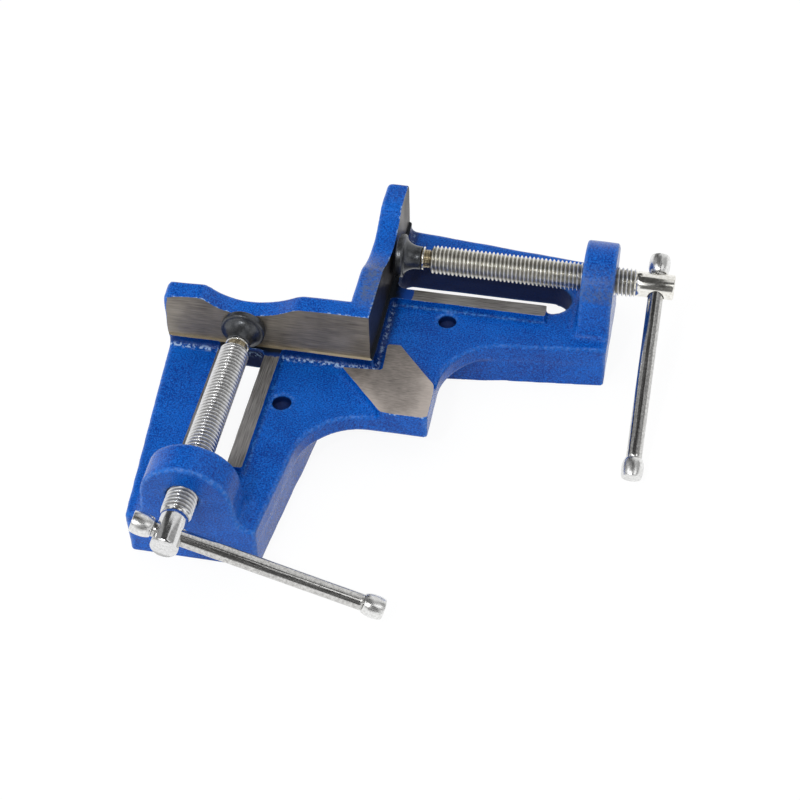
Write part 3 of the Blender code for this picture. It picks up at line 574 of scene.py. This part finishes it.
# Beds: grey strips streaked lengthwise, a paler tip bed that grows brighter towards the tip, a pale ledge at the foot
# of the left face, and paint left on the low spots beside the fence, darker towards the fence
beds, tree, shader, place = new_finish("ground_beds", (0.2, 0.19, 0.18), 0.8, 0.42)
spot = node_in(tree, "ShaderNodeSeparateXYZ", [(0, place)])
to_front = times(tree, spot.outputs["Y"], -1.0)
from_fence = times(tree, spot.outputs["X"], to_front, "MAXIMUM")
off_corner = times(tree, spot.outputs["X"], to_front, "MINIMUM")
on_right = shifted(tree, times(tree, spot.outputs["X"], spot.outputs["Y"], "ADD"), 0.0, 0.0001, 0.0, 1.0)
on_left = times(tree, 1.0, on_right, "SUBTRACT")
along, across = times(tree, from_fence, 90.0), times(tree, off_corner, 2400.0)
lengthwise = node_in(tree, "ShaderNodeCombineXYZ", [(0, along), (1, across)]).outputs[0]
eighth_turn = (0, 0, math.radians(45))
slanted = node_in(
    tree, "ShaderNodeMapping", [("Vector", place), ("Rotation", eighth_turn), ("Scale", (300, 1400, 300))]
).outputs[0]
strip_marks, tip_marks = (
    node_in(tree, "ShaderNodeGroup", [("Lines Vector", lines), ("Vector", place)], node_tree=lines_effect)
    for lines in (lengthwise, slanted)
)
strip_tone = times(
    tree, times(tree, strip_marks.outputs["Lines"], 0.65), times(tree, strip_marks.outputs["Blotches"], 0.35), "ADD"
)
strip_grey = colour_between(tree, strip_tone, (0.08, 0.075, 0.072, 1), (0.64, 0.615, 0.60, 1))
# The tip bed grows paler towards the tip
tone_patch = shifted(tree, from_fence, 0.008, 0.036, 0.0, 0.55)
tip_tone = times(tree, tone_patch, times(tree, tip_marks.outputs["Blotches"], 0.45), "ADD")
tip_tone = times(tree, tip_tone, times(tree, tip_marks.outputs["Lines"], 0.25), "ADD")
tip_grey = colour_between(tree, tip_tone, (0.04, 0.036, 0.032, 1), (0.52, 0.46, 0.42, 1))
is_tip = shifted(tree, off_corner, -0.03, -0.0299, 0.0, 1.0)
iron = colour_between(tree, is_tip, strip_grey, tip_grey)
ledge = times(tree, shifted(tree, from_fence, 0.0016, 0.0018, 1.0, 0.0), on_left)
iron = colour_between(tree, ledge, iron, (0.56, 0.48, 0.34, 1))
wobble = node_in(tree, "ShaderNodeTexNoise", [("Vector", place), ("Scale", 450.0), ("Detail", 2.0)]).outputs[0]
uneven = times(tree, from_fence, times(tree, times(tree, wobble, 0.5, "SUBTRACT"), 0.003), "ADD")
kept_left = times(tree, shifted(tree, uneven, 0.0066, 0.0074, 1.0, 0.0), on_left)
kept_right = times(tree, shifted(tree, uneven, 0.0118, 0.0126, 1.0, 0.0), on_right)
worked = times(tree, times(tree, is_tip, shifted(tree, from_fence, 0.004, 0.0041, 0.0, 1.0)), ledge, "MAXIMUM")
kept = times(tree, times(tree, kept_left, kept_right, "ADD"), times(tree, 1.0, worked, "SUBTRACT"))
# The kept paint runs from near black at the fence to blue further out
lighter_from_fence = shifted(tree, uneven, 0.0035, 0.0085, 0.0, 1.0)
paint = colour_between(tree, lighter_from_fence, (0.003, 0.008, 0.018, 1), (0.0, 0.06, 0.36, 1))
tree.links.new(colour_between(tree, kept, iron, paint), shader.inputs["Base Color"])
tree.links.new(shifted(tree, times(tree, kept, is_tip, "MAXIMUM"), 0.0, 1.0, 0.8, 0.3), shader.inputs["Metallic"])
bump = node_in(
    tree, "ShaderNodeBump", [("Height", strip_marks.outputs["Lines"]), ("Strength", 0.3), ("Distance", 0.00005)]
)
tree.links.new(bump.outputs[0], shader.inputs["Normal"])
casting.data.materials.append(beds)
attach(casting, "casting")
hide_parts("cast_body")

# The clamp screws
# Each is turned from one bar: a ball for the pad, a neck, 51 turns of right-hand thread and a plain head.
# Both are zinc-plated, with a yellowish tinge in the thread, and the head is drilled across for the handle bar.
BALL_CENTRE = 0.0109
THREAD_START = 0.0183
THREAD_END = 0.1203
HEAD_END = 0.1388
HOLE_PLACE = 0.1303
THREAD_PITCH = 0.002
THREAD_RADIUS = 0.007
THREAD_DEPTH = 0.0011
NECK_RADIUS = 0.00435
BALL_RADIUS = 0.005
HEAD_RADIUS = 0.0062
SCREW_FACETS = 64

# Along the screw, across it and up, for each side, as the columns of a turn; then the bar's way to its short end
screw_turns = {
    "left": np.array([(0, 1, 0), (-1, 0, 0), (0, 0, 1)], float),
    "right": np.array([(1, 0, 0), (0, 1, 0), (0, 0, 1)], float),
}
screw_starts = {
    "left": np.array((-SCREW_OFFSET, 0, SCREW_HEIGHT)),
    "right": np.array((0, SCREW_OFFSET, SCREW_HEIGHT)),
}
bar_ways = {"left": np.array((-0.945412, 0, 0.325879)), "right": np.array((0, 0.926278, 0.376842))}


def turned_skin(name, along, radius, turn, start, facets):
    """A closed turned surface: rings of radius (cos t, sin t) along an axis, a pole at each end, faces outwards."""
    rings = len(along)
    angle = np.arange(facets) * 2 * np.pi / facets
    radius = np.broadcast_to(radius if radius.ndim == 2 else radius[:, None], (rings, facets))
    grid = np.stack(
        (np.broadcast_to(along[:, None], (rings, facets)), radius * np.cos(angle), radius * np.sin(angle)), 2
    )
    poles = np.array([(along[0], 0, 0), (along[-1], 0, 0)])
    points = np.concatenate((grid.reshape(-1, 3), poles)) @ turn.T + start
    index = np.arange(rings * facets).reshape(rings, facets)
    after = np.roll(index, -1, 1)
    quads = np.stack((index[:-1], after[:-1], after[1:], index[1:]), 2).reshape(-1, 4).tolist()
    first, last = np.full(facets, rings * facets), np.full(facets, rings * facets + 1)
    caps = np.concatenate((np.stack((first, after[0], index[0]), 1), np.stack((last, index[-1], after[-1]), 1)))
    return mesh_of(name, points, quads + caps.tolist())


def creased(piece, degrees):
    """Smooth shading, with edges sharper than that angle left as edges."""
    piece.data.shade_smooth()
    piece.data.set_sharp_from_angle(angle=math.radians(degrees))
    return piece


def thread_radius(along, angle):
    """Radius of the thread: a cosine ridge that moves one pitch along for each turn, faded out at both ends."""
    wave = 0.5 + 0.5 * np.cos(2 * np.pi * along / THREAD_PITCH - angle)
    radius = THREAD_RADIUS - THREAD_DEPTH * wave
    radius = np.minimum(radius, NECK_RADIUS + 1.7 * (along - THREAD_START))
    return np.minimum(radius, HEAD_RADIUS + 1.2 * (THREAD_END - along))


def screw_skin(side):
    """Radii of the whole screw by ring: ball, ridged neck, thread, head, chamfer and flat end."""
    join = math.acos(NECK_RADIUS / BALL_RADIUS)
    swing = np.linspace(-math.pi / 2 + 0.06, join, 16)
    ball = np.stack((BALL_CENTRE + BALL_RADIUS * np.sin(swing), BALL_RADIUS * np.cos(swing)), 1)
    neck_along = np.linspace(ball[-1, 0], THREAD_START, 26)[1:]
    ridges = 0.00014 * np.sin(np.pi * np.clip((neck_along - ball[-1, 0]) / 0.001, 0, 1) / 2)
    ridges *= np.sin((neck_along - THREAD_START) * 2 * np.pi / 0.0011)
    neck = np.stack((neck_along, NECK_RADIUS + ridges), 1)
    thread_along = np.arange(THREAD_START + 0.0001, THREAD_END, THREAD_PITCH / 16)
    head = np.array(
        [
            (THREAD_END, HEAD_RADIUS - 0.0002),
            (THREAD_END + 0.0002, HEAD_RADIUS),
            (THREAD_END + 0.003, HEAD_RADIUS),
            (HEAD_END - 0.0007, HEAD_RADIUS),
            (HEAD_END - 0.00055, HEAD_RADIUS - 0.00006),
            (HEAD_END - 0.00012, HEAD_RADIUS - 0.00048),
            (HEAD_END, HEAD_RADIUS - 0.0006),
        ]
    )
    angle = np.arange(SCREW_FACETS) * 2 * np.pi / SCREW_FACETS
    plain = np.concatenate((ball, neck))
    along = np.concatenate((plain[:, 0], thread_along, head[:, 0]))
    radius = np.concatenate(
        (
            np.repeat(plain[:, 1:], SCREW_FACETS, 1),
            thread_radius(thread_along[:, None], angle[None]),
            np.repeat(head[:, 1:], SCREW_FACETS, 1),
        )
    )
    return turned_skin(side + "_screw", along, radius, screw_turns[side], screw_starts[side], SCREW_FACETS)


def bar_frame(side):
    """Turn and start of a bar: along it to its short end, along the screw, and square to both."""
    way, out = bar_ways[side], screw_turns[side][:, 0]
    return np.stack((way, out, np.cross(way, out)), 1), screw_starts[side] + HOLE_PLACE * out


def zinc_finish(side):
    """Bright zinc plate: pale on the crests, with painted shade in the grooves, yellowish on the neck, glossier on
    the head.
    """
    finish, tree, shader, place = new_finish(side + "_zinc_plate", (0.72, 0.72, 0.7), 1.0, 0.24)
    out, start = screw_turns[side][:, 0], screw_starts[side]
    centred = node_in(tree, "ShaderNodeVectorMath", [(0, place), (1, tuple(start))], operation="SUBTRACT")
    centred = centred.outputs[0]
    along = node_in(tree, "ShaderNodeVectorMath", [(0, centred), (1, tuple(out))], operation="DOT_PRODUCT")
    keep = tuple(1 - np.abs(out))
    across = node_in(tree, "ShaderNodeVectorMath", [(0, centred), (1, keep)], operation="MULTIPLY")
    reach = node_in(tree, "ShaderNodeVectorMath", [(0, across.outputs[0])], operation="LENGTH").outputs["Value"]
    groove = shifted(tree, reach, 0.006, 0.0067, 1.0, 0.0)
    threaded = shifted(tree, along.outputs["Value"], THREAD_END - 0.001, THREAD_END - 0.0005, 0.75, 0.0)
    neck = shifted(tree, along.outputs["Value"], THREAD_START - 0.0003, THREAD_START + 0.0005, 1.0, 0.0)
    plating = skin_of(tree, place, 700.0, 60.0)
    # Each side's colours differ as painted light: the right screw painted brighter, the left greyer; the groove
    # colours are painted shade
    low, high, painted_shade, shank = {
        "left": ((0.68, 0.68, 0.68), (0.82, 0.82, 0.82), (0.10, 0.098, 0.092), (0.44, 0.38, 0.27)),
        "right": ((0.80, 0.78, 0.72), (0.97, 0.96, 0.92), (0.15, 0.14, 0.105), (0.36, 0.30, 0.19)),
    }[side]
    pale = colour_between(tree, plating.outputs["Tone"], (*low, 1), (*high, 1))
    zinc = colour_between(tree, times(tree, groove, threaded), pale, (*painted_shade, 1))
    zinc = colour_between(tree, neck, zinc, (*shank, 1))
    tree.links.new(zinc, shader.inputs["Base Color"])
    gloss = shifted(tree, plating.outputs["Height"], 0.3, 0.7, 0.12, 0.22)
    tree.links.new(times(tree, gloss, times(tree, threaded, 0.2), "ADD"), shader.inputs["Roughness"])
    height = plating.outputs["Height"]
    bump = node_in(tree, "ShaderNodeBump", [("Height", height), ("Strength", 0.06), ("Distance", 0.0001)])
    tree.links.new(bump.outputs[0], shader.inputs["Normal"])
    return finish


zinc_plates = {side: zinc_finish(side) for side in screw_turns}
for side in screw_turns:
    screw = screw_skin(side)
    hole_ends = np.array((-0.009, 0.009))
    cut_by(screw, turned_skin("drill", hole_ends, np.full(2, 0.00405), *bar_frame(side), 48))
    creased(screw, 70)
    screw.data.materials.append(zinc_plates[side])
    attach(screw, side + "_screw")
    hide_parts(side + "_clamp_screw")

# The swivel pads
# A turned steel disc, flared back to a socket that is closed over the screw's ball so that the pad can tilt and
# turn. It is blackened and oiled: nearly black, with soft reflections and a thin bright line along the rim.
PAD_FACE = 0.0021
PAD_MOUTH = 0.0139
PAD_RADIUS = 0.01075
PAD_RIM = 0.0036


def pad_profile():
    """Half section of the pad: flat face, rounded rim, concave quarter flare, land at the mouth, ball's socket."""
    corner = np.linspace(0, np.pi / 2, 8)
    face_round = np.stack((PAD_FACE + 0.0007 * (1 - np.cos(corner)), PAD_RADIUS - 0.0007 * (1 - np.sin(corner))), 1)
    back = PAD_FACE + PAD_RIM
    rim_round = np.stack((back - 0.0012 * (1 - np.sin(corner)), PAD_RADIUS - 0.0012 * (1 - np.cos(corner))), 1)
    swing = np.linspace(0, np.pi / 2, 22)[1:]
    drop, run = PAD_RADIUS - 0.0012 - 0.0057, PAD_MOUTH - 0.0012 - back
    flare = np.stack((back + run * (1 - np.cos(swing)), PAD_RADIUS - 0.0012 - drop * np.sin(swing) ** 1.15), 1)
    land = [(PAD_MOUTH - 0.0003, 0.0057), (PAD_MOUTH, 0.0054), (PAD_MOUTH, 0.0049), (PAD_MOUTH - 0.0002, 0.0048)]
    throat = math.asin(0.0048 / 0.0053)
    ball = np.linspace(throat, np.pi - 0.05, 14)
    socket = np.stack((BALL_CENTRE + 0.0053 * np.cos(ball), 0.0053 * np.sin(ball)), 1)
    outside = np.concatenate(([(PAD_FACE, 0.004), (PAD_FACE, 0.008)], face_round, rim_round, flare, land))
    return np.concatenate((outside, socket))


oxide, tree, shader, place = new_finish("black_oxide", (0.08, 0.084, 0.09), 0.8, 0.34)
film = skin_of(tree, place, 1100.0, 90.0)
black = colour_between(tree, film.outputs["Tone"], (0.065, 0.069, 0.076, 1), (0.10, 0.104, 0.11, 1))
tree.links.new(black, shader.inputs["Base Color"])
tree.links.new(shifted(tree, film.outputs["Height"], 0.3, 0.7, 0.28, 0.38), shader.inputs["Roughness"])
height = film.outputs["Height"]
bump = node_in(tree, "ShaderNodeBump", [("Height", height), ("Strength", 0.05), ("Distance", 0.0001)])
tree.links.new(bump.outputs[0], shader.inputs["Normal"])
for side in screw_turns:
    section = pad_profile()
    pad = turned_skin(side + "_pad", section[:, 0], section[:, 1], screw_turns[side], screw_starts[side], 72)
    creased(pad, 55)
    pad.data.materials.append(oxide)
    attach(pad, side + "_pad")
    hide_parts(side + "_swivel_pad")

# The neck rings
# A loose zinc-plated ring on each screw's neck, behind the pad's mouth, round-edged like bent wire.
RING_MIDDLE = 0.015


def ring_skin(side):
    """A closed ring: a rounded rectangle (powers of cos and sin) carried round the axis as rings of points."""
    swing = np.arange(16) * 2 * np.pi / 16
    squared = lambda wave: np.sign(wave) * np.abs(wave) ** 0.6
    along = RING_MIDDLE + 0.0005 * squared(np.cos(swing))
    reach = 0.005175 + 0.000525 * squared(np.sin(swing))
    angle = np.arange(64) * 2 * np.pi / 64
    grid = np.stack(
        (np.repeat(along[:, None], 64, 1), reach[:, None] * np.cos(angle), reach[:, None] * np.sin(angle)), 2
    )
    points = grid.reshape(-1, 3) @ screw_turns[side].T + screw_starts[side]
    index = np.arange(16 * 64).reshape(16, 64)
    quads = np.stack((index, np.roll(index, -1, 0), np.roll(index, (-1, -1), (0, 1)), np.roll(index, -1, 1)), 2)
    return mesh_of(side + "_ring", points, quads.reshape(-1, 4))


ring_zinc, tree, shader, place = new_finish("ring_zinc", (0.84, 0.83, 0.79), 1.0, 0.24)
film = skin_of(tree, place, 700.0, 90.0)
pale = colour_between(tree, film.outputs["Tone"], (0.72, 0.705, 0.66, 1), (0.92, 0.91, 0.87, 1))
tree.links.new(pale, shader.inputs["Base Color"])
tree.links.new(shifted(tree, film.outputs["Height"], 0.3, 0.7, 0.18, 0.32), shader.inputs["Roughness"])
for side in screw_turns:
    ring = creased(ring_skin(side), 60)
    ring.data.materials.append(ring_zinc)
    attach(ring, side + "_collar")
    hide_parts(side + "_neck_ring")

# The handle bars
# Bright plated round bar, pushed through the screw's head; it slides until an end knob meets the head.
# Drawing and years of sliding leave lengthwise streaks under a mottled grey film.
BAR_RADIUS = 0.0037
BAR_ENDS = {"left": (-0.0891, 0.0073), "right": (-0.0902, 0.0062)}


def bright_finish(side, name, dark, light, smooth, rough):
    """Plated steel between two colours and two roughnesses: noise squeezed to a thirtieth along the bar."""
    finish, tree, shader, place = new_finish(side + "_" + name, light, 1.0, rough)
    way = tuple(bar_ways[side])
    along = node_in(tree, "ShaderNodeVectorMath", [(0, place), (1, way)], operation="DOT_PRODUCT").outputs["Value"]
    back = node_in(tree, "ShaderNodeVectorMath", [(0, way), ("Scale", times(tree, along, 0.97))], operation="SCALE")
    squeezed = node_in(tree, "ShaderNodeVectorMath", [(0, place), (1, back.outputs[0])], operation="SUBTRACT")
    streaks = node_in(
        tree, "ShaderNodeTexNoise", [("Vector", squeezed.outputs[0]), ("Scale", 2400.0), ("Detail", 3.0)]
    ).outputs[0]
    film = skin_of(tree, place, 900.0, 70.0)
    tone = times(tree, times(tree, film.outputs["Tone"], 0.5), times(tree, streaks, 0.5), "ADD")
    tone = shifted(tree, tone, 0.25, 0.75, 0.0, 1.0)
    steel = colour_between(tree, tone, (*dark, 1), (*light, 1))
    tree.links.new(steel, shader.inputs["Base Color"])
    tree.links.new(shifted(tree, streaks, 0.35, 0.65, smooth, rough), shader.inputs["Roughness"])
    bump = node_in(tree, "ShaderNodeBump", [("Height", streaks), ("Strength", 0.12), ("Distance", 0.00005)])
    tree.links.new(bump.outputs[0], shader.inputs["Normal"])
    return finish


for side in screw_turns:
    far, near = BAR_ENDS[side]
    steps = np.linspace(far + 0.0002, near - 0.0002, 60)
    along = np.concatenate(([far - 0.006, far, far], steps, [near, near, near + 0.006]))
    radius = np.full(len(along), BAR_RADIUS)
    radius[[0, 1, -2, -1]] = 0.0025
    radius[[2, -3]] = BAR_RADIUS - 0.0002
    bar = creased(turned_skin(side + "_bar", along, radius, *bar_frame(side), 56), 50)
    steel = bright_finish(side, "bright_steel", (0.44, 0.435, 0.425), (0.72, 0.715, 0.70), 0.10, 0.26)
    bar.data.materials.append(steel)
    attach(bar, side + "_handle")
    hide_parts(side + "_tommy_bar")

# The end knobs
# Barrel-shaped knobs pressed over the bar's stepped ends: a shoulder by the bar, a full belly and a flat outer end.
# They are turned and plated like the bars, but satin rather than bright.
KNOB_HALF = 0.0045
KNOB_PLACES = {
    "left": {"short_knob": (0.0121, 1), "long_knob": (-0.0939, -1)},
    "right": {"short_knob": (0.011, 1), "long_knob": (-0.095, -1)},
}


def knob_profile(centre, facing):
    """Half section of a knob along the bar: socket, shoulder, belly as a flat parabola, edge of its flat end."""
    share = np.linspace(-1, 1, 41)
    end = np.where(share < 0, 0.0043, 0.0046)
    belly = end + (0.0052 - end) * (1 - np.abs(share) ** 2.4)
    outside = np.stack((KNOB_HALF * share, belly), 1)
    mouth = -KNOB_HALF - 0.0002
    socket = [(0.0015, 0.0028), (mouth, 0.0028), (mouth, 0.0040), (-KNOB_HALF - 0.0001, 0.0042)]
    closed = [(KNOB_HALF + 0.00012, 0.0045), (KNOB_HALF + 0.0002, 0.0043), (KNOB_HALF + 0.0002, 0.003)]
    section = np.concatenate((socket, outside, closed))
    section[:, 0] = centre + facing * section[:, 0]
    return section if facing > 0 else section[::-1]


for side in screw_turns:
    satin = bright_finish(side, "satin_steel", (0.66, 0.66, 0.65), (0.90, 0.90, 0.89), 0.24, 0.36)
    for title, (centre, facing) in KNOB_PLACES[side].items():
        section = knob_profile(centre, facing)
        knob = turned_skin(side + "_" + title + "_skin", section[:, 0], section[:, 1], *bar_frame(side), 56)
        creased(knob, 45)
        knob.data.materials.append(satin)
        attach(knob, side + "_handle")
        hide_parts(side + "_" + title)

# The studio
# A white table in a bright room under one large soft lamp. The metal also shows dark walls and a window behind.
# The camera looks down on the clamp from the front, a little to the right.
view_turn = Matrix.Rotation(0.025697, 3, "Z") @ Matrix.Rotation(-0.75168, 3, "X")
view_turn = view_turn @ Matrix.Rotation(-0.21245, 3, "Z")
view_shift = Vector((-0.01377, -0.000122, -0.857748))
camera = bpy.data.objects.new("camera", bpy.data.cameras.new("camera"))
bpy.context.scene.collection.objects.link(camera)
camera.data.lens = 78.505
camera.data.sensor_width = 36
camera.data.clip_start = 0.01
camera.data.clip_end = 30
camera.matrix_world = Matrix.Translation(-(view_turn.transposed() @ view_shift)) @ view_turn.transposed().to_4x4()
bpy.context.scene.camera = camera
bpy.context.scene.view_settings.view_transform = "Standard"


def seen_straight_or_in_gloss(tree):
    """1 for a ray from the camera, off a glossy surface or through a clear one, 0 for light on rough surfaces."""
    path = node_in(tree, "ShaderNodeLightPath")
    gloss = times(tree, path.outputs["Is Camera Ray"], path.outputs["Is Glossy Ray"], "MAXIMUM")
    return times(tree, gloss, path.outputs["Is Transmission Ray"], "MAXIMUM")


# Table: white board that shows as plain white, with a tenth of its own shading left so that it keeps the shadow
table_corners = np.array([(-6, -6, -0.0002), (6, -6, -0.0002), (6, 6, -0.0002), (-6, 6, -0.0002)])
table = mesh_of("table", table_corners, [(0, 1, 2, 3)])
board, tree, shader, place = new_finish("table_white", (0.9, 0.9, 0.9), 0.0, 0.9)
white = node_in(tree, "ShaderNodeEmission", [("Color", (1, 1, 1, 1)), ("Strength", 1.03)])
share = times(tree, seen_straight_or_in_gloss(tree), 0.9)
shown = node_in(tree, "ShaderNodeMixShader", [(0, share), (1, shader.outputs[0]), (2, white.outputs[0])])
tree.links.new(shown.outputs[0], tree.nodes["Material Output"].inputs["Surface"])
table.data.materials.append(board)
table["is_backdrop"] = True

# Room: white to the camera and in gloss, and a dimmer fill light on rough surfaces, stronger from the left
room = bpy.data.worlds.new("room")
bpy.context.scene.world = room
room.use_nodes = True
tree = room.node_tree
bearing = node_in(tree, "ShaderNodeTexCoord").outputs["Generated"]
rightward = node_in(tree, "ShaderNodeSeparateXYZ", [(0, bearing)]).outputs["X"]
fill = node_in(tree, "ShaderNodeMapRange", [("Value", seen_straight_or_in_gloss(tree)), ("To Max", 1.0)])
tree.links.new(shifted(tree, rightward, -1.0, 1.0, 1.15, 0.45), fill.inputs["To Min"])
tree.links.new(fill.outputs[0], tree.nodes["Background"].inputs["Strength"])
tree.nodes["Background"].inputs["Color"].default_value = (1, 1, 1, 1)


def band_round(name, radius, start, stop, low, high, steps, glow):
    """A glowing strip of wall round the clamp, between two bearings and two heights, that only glossy rays meet."""
    bearing = np.radians(np.linspace(start, stop, steps + 1))
    rim = np.stack((radius * np.cos(bearing), radius * np.sin(bearing)), 1)
    points = np.concatenate([np.column_stack((rim, np.full(steps + 1, height))) for height in (low, high)])
    index = np.arange(steps)
    wall = mesh_of(name, points, np.stack((index + 1, index, index + steps + 1, index + steps + 2), 1))
    paint, tree, shader, place = new_finish(name, (0, 0, 0), 0.0, 1.0)
    light = node_in(tree, "ShaderNodeEmission", [("Color", (1, 1, 1, 1)), ("Strength", glow)])
    tree.links.new(light.outputs[0], tree.nodes["Material Output"].inputs["Surface"])
    wall.data.materials.append(paint)
    for ray in ("camera", "diffuse", "shadow", "transmission", "volume_scatter"):
        setattr(wall, "visible_" + ray, False)
    wall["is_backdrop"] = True
    return wall


# Dark walls from 20 degrees above the table upwards, a dark ceiling with a skylight, a window behind with a high
# wing to the left, dimmer light from the right and the left, a grey band low in front, darkest below the camera, and
# a screen on each side of the camera
walls = band_round("walls", 1.6, 0, 360, 0.58, 2.9, 48, 0.05)
window = band_round("window", 1.5, 36, 94, 0.49, 2.8, 12, 0.85)
band_round("high_window", 1.5, 94, 116, 1.95, 2.8, 5, 0.85)
band_round("right_light", 1.5, -12, 36, 0.49, 2.8, 8, 0.35)
band_round("left_light", 1.5, 148, 190, 0.49, 2.6, 8, 0.35)
band_round("front_band", 1.5, -170, -12, 0.57, 1.0, 30, 0.35)
band_round("front_shade", 1.4, -100, -60, 0.05, 0.95, 8, 0.12)
band_round("left_screen", 1.5, -170, -84, 1.1, 2.6, 14, 1.6)
band_round("right_screen", 1.5, -50, -12, 1.1, 2.6, 8, 1.6)
for name, left, right, front, back, height, paint in (
    ("ceiling", -1.7, 1.7, -1.7, 1.7, 2.9, walls),
    ("skylight", 0.85, 1.7, 0.1, 1.6, 2.85, window),
):
    corners = np.array([(left, front, height), (left, back, height), (right, back, height), (right, front, height)])
    panel = mesh_of(name, corners, [(0, 1, 2, 3)])
    panel.data.materials.append(paint.data.materials[0])
    for ray in ("camera", "diffuse", "shadow", "transmission", "volume_scatter"):
        setattr(panel, "visible_" + ray, False)
    panel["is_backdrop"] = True

lamp = bpy.data.objects.new("soft_lamp", bpy.data.lights.new("soft_lamp", "AREA"))
bpy.context.scene.collection.objects.link(lamp)
lamp.data.shape = "RECTANGLE"
lamp.data.size, lamp.data.size_y = 1.5, 1.2
lamp.data.energy = 2.0
lamp.location = (-0.15, 0.1, 1.3)
lamp.visible_glossy = False

# A small hard lamp to the left of the camera puts the sparkle on the enamel's peel and on the threads
spark = bpy.data.objects.new("spark_lamp", bpy.data.lights.new("spark_lamp", "AREA"))
bpy.context.scene.collection.objects.link(spark)
spark.data.size = 0.12
spark.data.energy = 4.0
spark.location = (-0.25, -0.93, 1.15)
spark.rotation_euler = spark.location.to_track_quat("Z", "Y").to_euler()

low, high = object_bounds()
